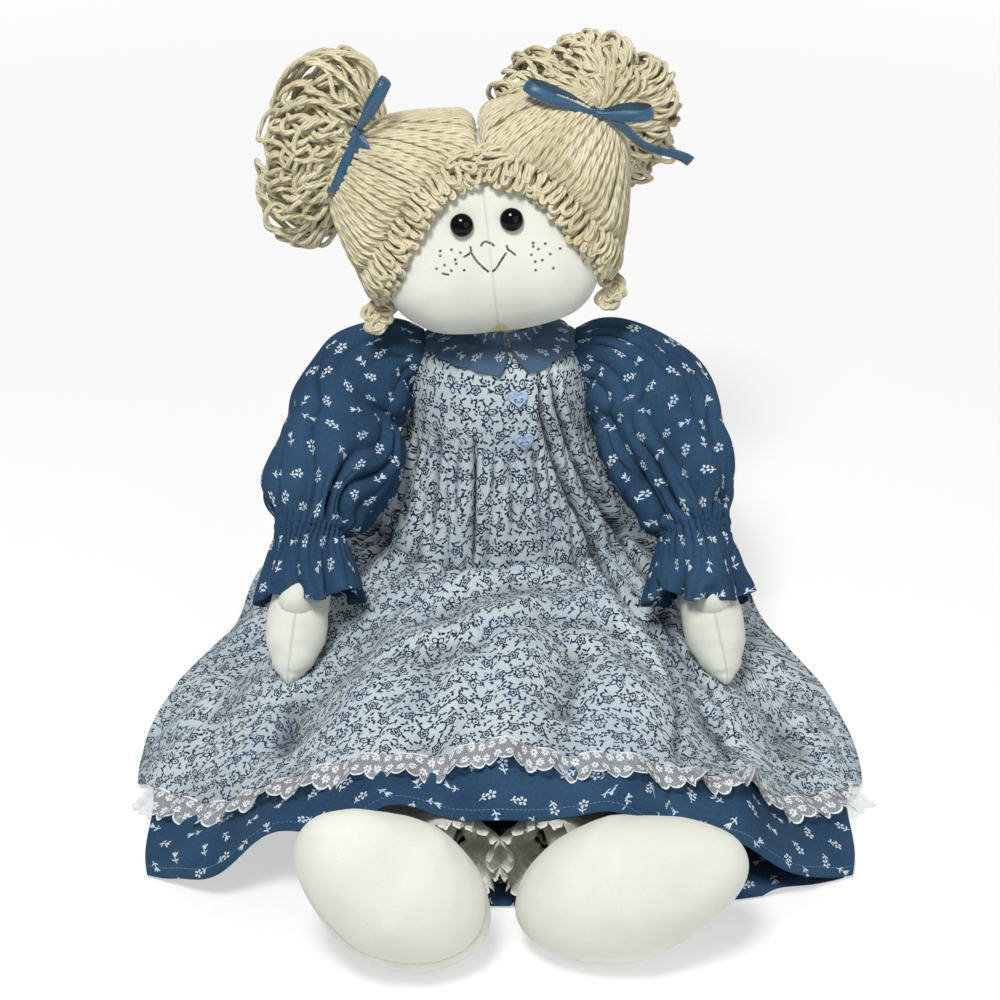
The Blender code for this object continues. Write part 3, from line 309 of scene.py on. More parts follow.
def calico(name, low, high, thread_tone, pitch, seed):
    """Blue cotton with small white sprigs, and painted shade in the valleys of its folds."""
    look = Look(name)
    u, v = look.place()
    worn = look.noise(look.spot(), 1100.0, 2.0)
    white = sprigs(look, u, v, pitch, seed) * (worn > 0.34)
    fade = look.noise(look.spot(), 18.0, 3.0)
    blue = look.mix(fade.step(0.35, 0.7), low, high)
    thread = look.noise(look.join(u * 0.15, v), 2600.0, 1.0)
    thread = thread * 0.5 + look.noise(look.join(u, v * 0.15), 2600.0, 1.0) * 0.5
    blue = look.mix(thread.step(0.42, 0.62) * 0.3, blue, thread_tone)
    blue = look.mix(white, blue, rgb(196, 210, 220))
    hem = look.kept("from_hem")
    stitch = abs(hem - HEM_STITCH_UP) < 0.00022
    stitch = stitch * ((u * (math.tau / HEM_STITCH_LENGTH)).math("SINE") > -0.5)
    blue = look.mix(stitch * 0.7, blue, rgb(112, 136, 160))
    # The kept fold value darkens the blue toward navy in the valleys: painted shade.
    look.set(Base_Color=look.mix(look.kept("painted_fold_shade") * 0.6, blue, rgb(16, 28, 44)), Roughness=0.92)
    look.set(Specular_IOR_Level=0.15)
    folds = look.noise(look.join(u, v), 60.0, 4.0, 0.6)
    look.set(Normal=look.bump(folds, 0.0014, 0.4, weave(look, u, v, 0.0004)))
    return look.material


def blue_calico():
    return calico("blue_calico", rgb(33, 60, 86), rgb(45, 74, 102), rgb(68, 96, 122), 0.0160, 0.0)


def painted_light_collar_calico():
    """The same cotton, a little paler all over: painted light on the doubled collar, which faces the light."""
    # Paler copies of the dress's blues: painted light.
    return calico("painted_light_collar_calico", rgb(62, 84, 108), rgb(76, 99, 125), rgb(98, 122, 146), 0.0150, 4.0)


def ditsy_ink(look, u, v):
    """Small roses, butterflies, daisies and leaves."""
    x, y, pick, _ = scattered(look, u, v, 0.0130, stray=0.12)
    x, y = x / DITSY_UNIT, y / DITSY_UNIT
    away = (x * x + y * y).math("SQRT")
    turn = y.math("ARCTAN2", x)
    scallop = (turn * 5.0).math("COSINE")
    rose = any_of(
        abs(away - scallop * 0.3 - 2.0) < 0.36,
        abs(away - (turn * 3.0).math("SINE") * 0.3 - 1.1) < 0.27,
        away < 0.6,
        oval(x, y, (3.1, 1.7), (1.25, 0.55), 0.9) < 1,
        oval(x, y, (-3.0, -1.9), (1.25, 0.55), 0.4) < 1,
        oval(x, y, (1.0, -3.3), (1.2, 0.5), -0.9) < 1,
    )
    side = abs(x)
    wings = any_of(
        abs(oval(side, y, (1.9, 1.15), (2.0, 1.15), 0.6) - 1.0) < 0.40,
        abs(oval(side, y, (1.35, -1.3), (1.45, 0.95), -0.7) - 1.0) < 0.46,
        oval(side, y, (2.1, 1.3), (0.7, 0.4), 0.6) < 1,
        (side < 0.36) * (abs(y) < 2.0),
        oval(side, y, (0.8, 2.7), (0.9, 0.25), 0.9) < 1,
    )
    large = any_of(rose * (pick > 0.3), wings * (pick < 0.3))
    a, b, _, _ = scattered(look, u + 0.0065, v + 0.0032, 0.0130, stray=0.2, seed=3.0)
    a, b = a / DITSY_UNIT, b / DITSY_UNIT
    reach = (a * a + b * b).math("SQRT")
    petal = abs((b.math("ARCTAN2", a) * 2.5).math("COSINE"))
    daisy = (reach < petal * 0.9 + 0.95) * (reach > 0.5) * (petal > 0.45)
    daisy = any_of(daisy, oval(a, b, (2.5, 0.9), (1.15, 0.5), 0.9) < 1)
    p, q, _, _ = scattered(look, u + 5.0, v, 0.0058, stray=0.2, seed=5.0)
    p, q = p / DITSY_UNIT, q / DITSY_UNIT
    sprig = any_of(
        oval(p, q, (0.95, 0.8), (1.2, 0.52), 0.75) < 1,
        oval(p, q, (-0.85, 0.1), (1.1, 0.5), 2.35) < 1,
        (abs(p) < 0.17) * (abs(q + 0.7) < 0.9),
    )
    return any_of(large, daisy * (away > 3.5), sprig * (away > 3.3) * (reach > 2.2))


def white_print():
    """Cool white cotton printed all over in navy line, with painted shade in the valleys of its folds."""
    look = Look("white_print")
    u, v = look.place()
    ink = ditsy_ink(look, u, v)
    faded = look.noise(look.join(u, v), 1500.0, 2.0).step(0.12, 0.36)
    shade = look.noise(look.spot(), 30.0, 3.0)
    navy = look.mix(shade.step(0.3, 0.7), rgb(24, 34, 60), rgb(42, 54, 86))
    white = look.mix(shade.step(0.3, 0.7), rgb(194, 206, 208), rgb(182, 195, 201))
    cloth = look.mix(ink * faded * 0.97, white, navy)
    # The kept fold value darkens the cloth in the valleys: painted shade.
    look.set(Base_Color=look.mix(look.kept("painted_fold_shade") * 0.74, cloth, rgb(34, 42, 56)), Roughness=0.93)
    look.set(Specular_IOR_Level=0.15)
    folds = look.noise(look.join(u, v), 45.0, 4.0, 0.6)
    look.set(Normal=look.bump(folds, 0.0018, 0.45, weave(look, u, v, 0.0004)))
    return look.material


def white_cotton():
    look = Look("white_cotton")
    u, v = look.place()
    shade = look.noise(look.spot(), 40.0, 3.0)
    look.set(Base_Color=look.mix(shade, rgb(228, 228, 222), rgb(240, 240, 236)), Roughness=0.92)
    look.set(Specular_IOR_Level=0.2)
    folds = look.noise(look.join(u, v), 80.0, 4.0, 0.6)
    look.set(Normal=look.bump(folds, 0.001, 0.35, weave(look, u, v, 0.0004)))
    return look.material


def gathered_lace(name, width, scallop, tint, cover):
    """Machine lace: a net with flowers, solid edges and a scalloped rim. v runs from 0 at the seam."""
    look = Look(name)
    u, v = look.place()
    wave = abs((u * (math.pi / scallop)).math("SINE"))
    rim = width * 0.80 + wave ** 0.6 * (width * 0.20)
    inside = v < rim
    edge = any_of(abs(v - rim + 0.0006) < 0.0006, v < 0.0012)
    net = 0.0010
    lines = any_of(
        abs(((u + v) * (math.pi / net)).math("SINE")) < 0.30,
        abs(((u - v) * (math.pi / net)).math("SINE")) < 0.30,
    )
    x, y, _, _ = scattered(look, u, v, 0.0070, stray=0.2)
    x, y = x / MM, y / MM
    away = (x * x + y * y).math("SQRT")
    petal = abs((y.math("ARCTAN2", x) * 3.0).math("COSINE"))
    flower = (away < petal * 1.1 + 1.3) * (away > 0.55) * (petal > 0.25)
    spray = near_line(x, y, ((-1.5, -2.0), (0.3, -1.6), (2.2, -0.4), (2.6, 1.2))) < 0.32
    thread = any_of(edge, lines * 0.75, flower, spray)
    look.set(Base_Color=tint, Roughness=0.85, Alpha=(thread * (1 - cover) + cover) * inside, Specular_IOR_Level=0.2)
    raised = any_of(edge, flower, spray) + lines * 0.5
    look.set(Normal=look.bump(raised, 0.0004, 0.6))
    return look.material


# Muslin, yarn, satin and plastic

# Marks drawn on the face, in millimetres across and up from the head's middle
NOSE_LINES = (
    ((-4.2, -4.8), (-3.3, -3.5), (-2.1, -2.9), (-0.9, -3.2)),
    ((0.0, -3.7), (1.4, -4.4), (2.4, -5.5)),
)
SMILE_LINES = (
    ((-9.6, -7.8), (-8.4, -10.4), (-6.7, -13.2), (-4.4, -16.0), (-2.1, -18.3)),
    ((0.4, -18.6), (2.6, -16.8), (4.4, -14.4), (6.2, -12.1), (8.0, -9.9)),
    ((-9.8, -4.9), (-9.5, -6.8), (-10.8, -8.4), (-13.4, -9.4)),
    ((8.9, -6.3), (9.2, -8.0), (10.6, -9.2), (12.5, -11.0)),
    ((-25.5, -16.9), (-22.6, -17.7)),
)
FRECKLES = (
    (22.2, -6.3), (22.0, -8.0), (24.4, -9.6), (28.2, -7.3), (35.6, -10.8), (20.6, -12.0), (30.2, -12.9),
    (22.2, -15.7), (25.8, -15.4), (21.8, -20.0), (31.0, -20.2), (-25.4, -5.2), (-25.7, -7.7), (-19.6, -5.2),
    (-15.2, -7.2), (-18.1, -10.4), (-17.9, -12.5), (-24.0, -12.7), (-28.3, -14.1), (-20.8, -15.8), (-14.2, -16.2),
)
GLUE_SPOT = (0.5, -50.0)


def muslin_bump(look, seam=None):
    """Fine weave, slubs and soft dents, and a seam where its distance in metres is given."""
    spot = look.spot()
    slubs = look.noise(spot, 700.0, 3.0, 0.65)
    dents = look.noise(spot, 38.0, 3.0, 0.5)
    height = slubs * 0.16 + dents * 0.9
    if seam is not None:
        height = height - (1.0 - seam.step(0.0, 0.0011)) * 0.5
    return look.bump(height, 0.0011, 0.55)


def muslin_colour(look):
    spot = look.spot()
    cloud = look.noise(spot, 22.0, 3.0)
    fleck = look.noise(spot, 1400.0, 2.0)
    pale = look.mix(cloud.step(0.3, 0.7), rgb(224, 226, 215), rgb(214, 216, 204))
    return look.mix(fleck.step(0.62, 0.72) * 0.3, pale, rgb(184, 182, 164))


def plain_muslin():
    look = Look("muslin")
    look.set(Base_Color=muslin_colour(look), Roughness=0.95, Sheen_Weight=0.1, Specular_IOR_Level=0.2)
    look.set(Normal=muslin_bump(look))
    return look.material


def seamed_muslin():
    """Muslin with a seam where the Cloth map's u is 0."""
    look = Look("seamed_muslin")
    u, _ = look.place()
    seam = abs(u)
    shade = 1.0 - seam.step(0.0, 0.0009)
    colour = look.mix(shade * 0.45, muslin_colour(look), rgb(176, 168, 148))
    look.set(Base_Color=colour, Roughness=0.95, Sheen_Weight=0.1, Specular_IOR_Level=0.2)
    look.set(Normal=muslin_bump(look, seam))
    return look.material


def face_muslin():
    """The head's muslin, with the face that is drawn on it, its middle seam and a spot of glue."""
    look = Look("face_muslin")
    across, up = look.place("Face")
    x, z = across / MM, up / MM
    waver = look.noise(look.spot(), 500.0, 1.0) * 0.22
    marks = [near_line(x, z, line) + waver for line in NOSE_LINES + SMILE_LINES]
    ink = marks[0]
    for mark in marks[1:]:
        ink = ink.least(mark)
    ink = 1.0 - ink.step(0.55, 0.85)
    dots = None
    for fx, fz in FRECKLES:
        dx, dz = x - fx, z - fz
        away = dx * dx + dz * dz
        dots = away if dots is None else dots.least(away)
    dots = 1.0 - dots.step(0.30, 0.85)
    seam = abs(x)
    # Darker in a broken line along the middle seam: painted shade in the seam's crease.
    crease = (1.0 - seam.step(0.05, 0.75)) * look.noise(look.spot(), 90.0, 2.0).step(0.25, 0.6)
    colour = look.mix(crease * 0.22, muslin_colour(look), rgb(150, 140, 120))
    gx, gz = x - GLUE_SPOT[0], z - GLUE_SPOT[1]
    glue = 1.0 - (gx * gx * 0.04 + gz * gz * 0.08 + look.noise(look.spot(), 260.0, 2.0)).step(0.75, 1.6)
    colour = look.mix(glue * 0.7, colour, rgb(206, 180, 104))
    worn = look.noise(look.spot(), 1800.0, 2.0).step(0.2, 0.5)
    colour = look.mix(any_of(ink, dots) * worn * 0.95, colour, rgb(44, 44, 48))
    look.set(Base_Color=colour, Roughness=0.95, Sheen_Weight=0.1, Specular_IOR_Level=0.2)
    look.set(Normal=muslin_bump(look, seam * MM))
    return look.material


def plied_yarn():
    """Soft cream yarn: three plies that wind round each other, a few pale fibres, and painted shade in the grooves
    between the plies.
    """
    look = Look("plied_yarn")
    along, around = look.place("Yarn")
    lay = along * (math.tau / 0.0075) + around * (3 * math.tau)
    ply = lay.math("SINE")
    # The grooves between the plies are darkened: painted shade.
    painted_groove_shade = 1.0 - ply.step(-1.0, -0.35)
    spot = look.spot()
    tone = look.noise(spot, 55.0, 3.0)
    cream = look.mix(tone.step(0.32, 0.68), rgb(206, 197, 160), rgb(227, 219, 186))
    fibres = look.noise(look.join(along * 0.25, around * 0.01, 0.0), 3000.0, 2.0)
    cream = look.mix(fibres.step(0.5, 0.75) * 0.4, cream, rgb(248, 242, 220))
    look.set(Base_Color=look.mix(painted_groove_shade * 0.4, cream, rgb(160, 144, 100)), Roughness=0.9)
    look.set(Sheen_Weight=0.35, Sheen_Roughness=0.4, Specular_IOR_Level=0.25)
    look.set(Normal=look.bump(ply + fibres * 0.5, 0.00045, 0.8))
    return look.material


def blue_satin():
    """Ribbon: lengthwise sheen and small loops along both edges. v runs from -1 to 1 across."""
    look = Look("blue_satin")
    along, across = look.place()
    edge = abs(across)
    loops = (along * (math.tau / 0.0014)).math("SINE") * 0.5 + 0.5
    keep = edge < 0.84 + loops * 0.16
    rib = (across * 60.0).math("SINE")
    tone = look.noise(look.join(along * 40.0, across * 3.0), 3.0, 3.0)
    blue = look.mix(tone.step(0.3, 0.7), rgb(16, 58, 88), rgb(40, 96, 128))
    blue = look.mix((edge > 0.82) * 0.6, blue, rgb(56, 106, 136))
    look.set(Base_Color=blue, Roughness=0.32, Alpha=keep)
    look.set(Sheen_Weight=0.3, Anisotropic=0.5, Specular_IOR_Level=0.6)
    look.set(Normal=look.bump(rib + tone, 0.0001, 0.3))
    return look.material


def black_eye():
    look = Look("black_eye")
    dust = look.noise(look.spot(), 900.0, 3.0)
    look.set(Base_Color=look.mix(dust.step(0.6, 0.8) * 0.15, rgb(8, 8, 10), rgb(36, 36, 38)))
    look.set(Roughness=dust * 0.06 + 0.05, Specular_IOR_Level=0.22)
    return look.material


def pearly_button():
    """Pale periwinkle plastic with a swirl, and its two holes painted dark as painted shade. The Cloth map is the
    button's face.
    """
    look = Look("pearly_button")
    x, y = look.place()
    swirl = look.noise(look.spot(), 260.0, 3.0)
    pale = look.mix(swirl.step(0.3, 0.7), rgb(146, 168, 204), rgb(180, 198, 226))
    # The two holes are painted dark: painted shade where they go through the button.
    painted_hole_shade = None
    for side in (-1, 1):
        away = oval(x, y, (side * BUTTON_HOLE_SPREAD, 0.0), (0.00095, 0.00095))
        painted_hole_shade = away if painted_hole_shade is None else painted_hole_shade.least(away)
    look.set(Base_Color=look.mix(1.0 - painted_hole_shade.step(0.7, 1.3), pale, rgb(30, 36, 66)), Roughness=0.25)
    look.set(Coat_Weight=0.4, Specular_IOR_Level=0.55)
    look.set(Normal=look.bump(swirl, 0.0001, 0.2))
    return look.material


def white_nylon():
    look = Look("white_nylon")
    fleck = look.noise(look.spot(), 700.0, 2.0)
    look.set(Base_Color=look.mix(fleck, rgb(226, 226, 222), rgb(240, 240, 238)), Roughness=0.45)
    return look.material


def cotton_thread():
    look = Look("cotton_thread")
    ply = look.noise(look.spot(), 2500.0, 2.0)
    look.set(Base_Color=look.mix(ply, rgb(40, 48, 74), rgb(64, 74, 104)), Roughness=0.85)
    look.set(Normal=look.bump(ply, 0.0003, 0.5))
    return look.material


# Shapes in numbers


def curve_at(rows, keys):
    """The other columns at these keys, on a smooth curve through the rows, whose keys rise."""
    rows = np.array(rows, float)
    count = len(rows)
    before = rows[np.maximum(np.arange(count) - 1, 0)]
    after = rows[np.minimum(np.arange(count) + 1, count - 1)]
    slopes = (after[:, 1:] - before[:, 1:]) / (after[:, :1] - before[:, :1])
    keys = np.clip(np.asarray(keys, float), rows[0, 0], rows[-1, 0])
    right = np.clip(np.searchsorted(rows[:, 0], keys), 1, count - 1)
    left = right - 1
    span = (rows[right, 0] - rows[left, 0])[..., None]
    t = (keys - rows[left, 0])[..., None] / span
    start, end = rows[left, 1:], rows[right, 1:]
    return (
        start * (1 + 2 * t) * (1 - t) ** 2
        + end * t * t * (3 - 2 * t)
        + slopes[left] * span * t * (1 - t) ** 2
        - slopes[right] * span * t * t * (1 - t)
    )


def ease(value, low, high):
    """0 at low, 1 at high, smooth between."""
    t = np.clip((value - low) / (high - low), 0, 1)
    return t * t * (3 - 2 * t)


def wander(x, y, seed, wrap=64):
    """Smooth noise from -1 to 1 on a lattice of unit cells, which repeats in x every wrap cells."""
    table = np.random.RandomState(seed).uniform(-1, 1, (64, 64))
    x, y = np.broadcast_arrays(np.asarray(x, float), np.asarray(y, float))
    i, j = np.floor(x).astype(int), np.floor(y).astype(int)
    s, t = x - i, y - j
    s, t = s * s * (3 - 2 * s), t * t * (3 - 2 * t)
    k, m = (i + 1) % wrap, (j + 1) % 64
    i, j = i % wrap, j % 64
    low = table[i, j] * (1 - s) + table[k, j] * s
    high = table[i, m] * (1 - s) + table[k, m] * s
    return low * (1 - t) + high * t


def unit(vectors):
    return vectors / np.maximum(np.linalg.norm(vectors, axis=-1, keepdims=True), 1e-9)


def lengths_along(line):
    """How far each point of a line is along it, in metres."""
    return np.concatenate([[0], np.cumsum(np.linalg.norm(np.diff(line, axis=0), axis=1))])


def placed(points, matrix):
    """Points turned and moved by a matrix."""
    return points @ np.array(matrix.to_3x3()).T + np.array(matrix.translation)


def sphere_rays(polar, turn):
    """Rays at these angles from +Z and round it."""
    flat = np.sin(polar)
    return np.stack(np.broadcast_arrays(flat * np.cos(turn), flat * np.sin(turn), np.cos(polar)), -1)


def grid_normals(points, around):
    if around:
        across = np.roll(points, -1, 1) - np.roll(points, 1, 1)
    else:
        across = np.gradient(points, axis=1)
    return unit(np.cross(np.gradient(points, axis=0), across))


def steps_along(points, axis):
    """How far each point of a grid is along one of its axes, in metres."""
    gaps = np.linalg.norm(np.diff(points, axis=axis), axis=2)
    start = np.zeros_like(np.take(gaps, [0], axis=axis))
    return np.concatenate([start, np.cumsum(gaps, axis=axis)], axis=axis)


def mesh_of(name, points, faces, material, uv=None, uv_name="Cloth"):
    mesh = bpy.data.meshes.new(name)
    mesh.from_pydata([tuple(p) for p in points], [], [tuple(f) for f in faces])
    if uv is not None:
        layer = mesh.uv_layers.new(name=uv_name)
        layer.data.foreach_set("uv", np.asarray(uv, np.float32).ravel())
    mesh.materials.append(material)
    mesh.shade_smooth()
    made = bpy.data.objects.new(name, mesh)
    scene.collection.objects.link(made)
    return made


def grid_faces(rows, columns, around):
    """Corners of each face in a grid, as rows and columns. The last column may be one past the end."""
    r, c = np.meshgrid(np.arange(rows - 1), np.arange(columns if around else columns - 1), indexing="ij")
    r, c = r.ravel(), c.ravel()
    return np.stack([r, r, r + 1, r + 1], 1), np.stack([c, c + 1, c + 1, c], 1)


def spread(values, around, times=3):
    """Values on a grid, each evened out with its neighbours."""
    for _ in range(times):
        for way in (0, 1):
            total = values * 0
            for step in range(-2, 3):
                moved = np.roll(values, step, way)
                if way == 0 or not around:
                    edge = [slice(None)] * values.ndim
                    edge[way] = slice(0, step) if step > 0 else slice(values.shape[way] + step, None)
                    if step:
                        moved[tuple(edge)] = values[tuple(edge)]
                total = total + moved
            values = total / 5
    return values


def keep_values(piece, name, values):
    """Numbers for the piece's points, which its material reads."""
    kept = piece.data.attributes.new(name, "FLOAT", "POINT")
    kept.data.foreach_set("value", np.asarray(values, np.float32).ravel())


def shade_valleys(piece, points, around, out, deep):
    """The cloth's folds, from 0 on their ridges to 1 in their valleys, narrow ones and broad ones, kept for the
    materials that paint shade into the valleys.
    """
    narrow = ((spread(points, around) - points) * out).sum(-1) / deep
    broad = ((spread(points, around, 16) - points) * out).sum(-1) / (deep * 2.6)
    keep_values(piece, "painted_fold_shade", np.clip(np.maximum(narrow, broad), 0, 1))


def grid_piece(name, points, cloth, material, around=False, thick=0.0, uv_name="Cloth"):
    """A sheet through a grid of points. Cloth is the flat place of each, with one more column if it closes."""
    rows, columns = points.shape[:2]
    r, c = grid_faces(rows, columns, around)
    made = mesh_of(
        name, points.reshape(-1, 3), r * columns + c % columns, material, cloth[r, c].reshape(-1, 2), uv_name
    )
    if thick:
        wall = made.modifiers.new("thickness", "SOLIDIFY")
        wall.thickness = thick
        wall.offset = -1
    return made


def closed_cloth(points, start=0.0):
    """Flat places for a grid that closes: across along the rows, and down from the first row."""
    looped = np.concatenate([points, points[:, :1]], axis=1)
    across = steps_along(looped, 1)
    across -= across[:, -1:] * start
    down = steps_along(looped, 0)
    return np.stack([across, down], 2)


def open_cloth(points):
    across = steps_along(points, 1)
    across -= across[:, points.shape[1] // 2][:, None]
    return np.stack([across, steps_along(points, 0)], 2)


# Sizes that the pieces share with the frame

CLOTH = 0.0015
CLEARANCE = 0.0003
SEAT_Z = 0.0054
TORSO_HEIGHT = 0.1665
TORSO_HALF_WIDTH = 0.052
TORSO_HALF_DEPTH = 0.045
TORSO_Y = 0.036
TORSO_PROFILE = (
    (0.00, 0.56, 0.52), (0.03, 0.76, 0.74), (0.12, 0.93, 0.94), (0.27, 1.00, 1.00), (0.45, 0.95, 0.92),
    (0.63, 0.91, 0.83), (0.81, 0.89, 0.77), (0.91, 0.81, 0.66), (0.97, 0.61, 0.51), (1.00, 0.38, 0.39),
)
PINAFORE_FLARE = ((0.25, 1.0), (0.50, 0.35), (0.75, 0.0), (1.0, 0.0))
BUTTON_HOLE_SPREAD = 0.0017


def torso_at(turn, share, grow):
    profile = curve_at(TORSO_PROFILE, share)
    x = (TORSO_HALF_WIDTH * profile[..., 0] + grow) * np.cos(turn)
    y = TORSO_Y + (TORSO_HALF_DEPTH * profile[..., 1] + grow) * np.sin(turn)
    return np.stack(np.broadcast_arrays(x, y, SEAT_Z + TORSO_HEIGHT * np.asarray(share, float)), -1)


def pinafore_grow(share):
    return 0.0045 + 0.005 * curve_at(PINAFORE_FLARE, share)[..., 0]


# The skirts' lap: a height over each place, as the frame has it

SKIRT_BACK_Y = 0.118
SKIRT_HEM_Y = -0.230
SKIRT_HALF_WIDTH = 0.187
SKIRT_PEAK = 0.0745
SKIRT_EDGE = 0.0062
SKIRT_HEM_DRAW = 0.020
PINAFORE_HEM_Y = -0.193
PINAFORE_HEM_DRAW = 0.055
LACE_WIDTH = 0.0115
HEM_LACE_WIDTH = LACE_WIDTH + 0.0055
CUFF_LACE_WIDTH = 0.024
SKIRT_RUN = (
    (0.000, 0.19, 0.18, 4.0, 1.2), (0.028, 0.45, 0.42, 4.0, 1.2), (0.080, 0.63, 0.66, 4.0, 1.2),
    (0.195, 0.75, 0.73, 4.0, 1.2), (0.340, 0.80, 0.73, 4.0, 1.2), (0.415, 0.86, 0.71, 3.0, 1.5),
    (0.510, 0.94, 0.88, 2.0, 2.2), (0.670, 1.00, 1.00, 1.9, 2.4), (0.830, 0.97, 0.93, 2.2, 1.9),
    (0.930, 0.94, 0.89, 2.8, 1.6), (1.000, 0.91, 0.87, 3.0, 1.5),
)


# Soft folds that run down the lap: how many half waves across, how high, and their share along the skirt
FOLD_COUNT = 6
FOLD_HEIGHT = 0.0043
FOLD_SHARES = ((0.0, 0.0), (0.42, 0.0), (0.62, 0.55), (0.85, 0.8), (1.0, 1.0))


def lap_half_width(y):
    return SKIRT_HALF_WIDTH * curve_at(SKIRT_RUN, (SKIRT_BACK_Y - y) / (SKIRT_BACK_Y - SKIRT_HEM_Y))[..., 0]


def lap_height(x, y):
    run = (SKIRT_BACK_Y - y) / (SKIRT_BACK_Y - SKIRT_HEM_Y)
    rows = curve_at(SKIRT_RUN, run)
    share = np.clip(np.abs(x) / (SKIRT_HALF_WIDTH * rows[..., 0]), 0, 1)
    crown = np.maximum(1 - share ** rows[..., 2], 0) ** rows[..., 3]
    folds = FOLD_HEIGHT * curve_at(FOLD_SHARES, run)[..., 0]
    wave = folds * np.cos(math.pi * FOLD_COUNT * share) * (1 - share ** 4)
    return np.maximum(SKIRT_EDGE + (SKIRT_PEAK * rows[..., 1] - SKIRT_EDGE) * crown + wave, SKIRT_EDGE)


# Folds on the lap: their lines from the doll's right to its left, height, width in front and behind
LAP_FOLDS = (
    (((-0.072, -0.088), (-0.052, -0.074), (-0.034, -0.064), (-0.015, -0.054), (0.003, -0.044), (0.020, -0.037),
      (0.036, -0.042), (0.054, -0.053), (0.074, -0.068), (0.092, -0.092)), 0.0130, 0.016, 0.006),
    (((-0.060, -0.062), (-0.034, -0.049), (-0.010, -0.038), (0.016, -0.024), (0.040, -0.030), (0.066, -0.048),
      (0.086, -0.072)), -0.0160, 0.007, 0.009),
    (((-0.093, -0.122), (-0.049, -0.106), (-0.015, -0.108), (0.020, -0.080), (0.047, -0.071), (0.070, -0.080),
      (0.091, -0.118), (0.112, -0.160)), 0.0085, 0.008, 0.016),
    (((-0.108, -0.094), (-0.108, -0.127), (-0.103, -0.168)), -0.0065, 0.010, 0.008),
    (((0.076, -0.046), (0.092, -0.088), (0.106, -0.134), (0.125, -0.160)), -0.0090, 0.010, 0.008),
    (((0.155, -0.085), (0.166, -0.115), (0.178, -0.155)), 0.0040, 0.010, 0.010),
    (((0.126, -0.158), (0.118, -0.188), (0.112, -0.214)), 0.0060, 0.012, 0.009),
    (((0.042, -0.100), (0.037, -0.136), (0.030, -0.172)), -0.0070, 0.013, 0.009),
    (((-0.012, -0.122), (-0.022, -0.150), (-0.040, -0.185)), 0.0050, 0.011, 0.010),
    (((-0.066, -0.110), (-0.078, -0.150), (-0.090, -0.200), (-0.094, -0.235)), 0.0075, 0.018, 0.018),
    (((0.072, -0.110), (0.084, -0.150), (0.094, -0.200), (0.098, -0.235)), 0.0075, 0.018, 0.018),
    (((-0.150, -0.060), (-0.158, -0.095), (-0.160, -0.130)), 0.0040, 0.010, 0.010),
)


def fold_lines(x, y, folds):
    """How far folds along lines lift the cloth, with a width on each side of the line."""
    total = np.zeros_like(x)
    for line, high, before, behind in folds:
        near = np.full_like(x, np.inf)
        side = np.zeros_like(x)
        share = np.zeros_like(x)
        for i, (a, b) in enumerate(zip(line, line[1:])):
            way = np.array(b) - np.array(a)
            along = np.clip(((x - a[0]) * way[0] + (y - a[1]) * way[1]) / (way @ way), 0, 1)
            dx, dy = x - a[0] - along * way[0], y - a[1] - along * way[1]
            away = np.hypot(dx, dy)
            closer = away < near
            near = np.where(closer, away, near)
            side = np.where(closer, way[0] * dy - way[1] * dx, side)
            share = np.where(closer, (i + along) / (len(line) - 1), share)
        wide = behind + (before - behind) * (0.5 - 0.5 * np.tanh(side / 0.00012))
        ends = ease(share, -0.02, 0.22) * (1 - ease(share, 0.78, 1.02))
        total = total + high * np.exp(-((near / wide) ** 2)) * ends
    return total


def hem_outline():
    """The pinafore's edge seen from above, from the back's middle round by the right and the front."""
    share = np.linspace(-0.97, 0.97, 120)
    y = PINAFORE_HEM_Y + PINAFORE_HEM_DRAW * np.abs(share) ** 4
    front = np.stack([share * lap_half_width(y), y, np.ones_like(y)], 1)
    y = np.linspace(front[0, 1], SKIRT_BACK_Y - 0.0002, 160)[1:]
    half = lap_half_width(y)
    right = np.stack([-half, y, np.zeros_like(y)], 1)[::-1]
    left = np.stack([half, y, np.zeros_like(y)], 1)
    ends = [[0, SKIRT_BACK_Y, 0]]
    return np.concatenate([ends, right, front, left, ends])


# The pinafore is one sheet, a smock from the neck to the hem

SMOCK_TOP_SHARE = 0.985
SMOCK_DROP_SHARE = 0.676
SMOCK_COLUMNS = 520
SMOCK_ROWS = 150
BODICE_ROWS = 60
# How steeply the cloth falls from the chest, and how softly it turns onto the lap
HANG_SLOPE = 3.2
HANG_ROUNDING = 0.0035
# Folds that the cloth keeps down the smock's front: across at each distance from the chest, and depth
CHEST_FOLDS = (
    (((-0.010, -0.0135), (0.066, -0.0150)), 0.0016, 0.0066),
    (((-0.008, -0.0330), (0.054, -0.0370)), 0.0018, 0.0060),
    (((-0.002, 0.0040), (0.044, 0.0070)), 0.0018, 0.0034),
    (((0.002, -0.0235), (0.030, -0.0250)), 0.0015, 0.0030),
    (((-0.004, 0.0170), (0.052, 0.0240)), 0.0018, 0.0034),
    (((0.000, -0.0450), (0.050, -0.0520)), 0.0020, 0.0040),
    (((0.000, -0.0040), (0.030, -0.0040)), 0.0014, 0.0024),
)
# Two pleats that sweep from the collar's point to the doll's left of the lap
PLEATS = (
    ((-0.050, 0.0200), (-0.020, 0.0235), (0.010, 0.0310), (0.050, 0.0470), (0.100, 0.0660), (0.200, 0.0900)),
    ((-0.046, 0.0275), (-0.020, 0.0320), (0.010, 0.0400), (0.050, 0.0580), (0.100, 0.0830), (0.200, 0.1150)),
)


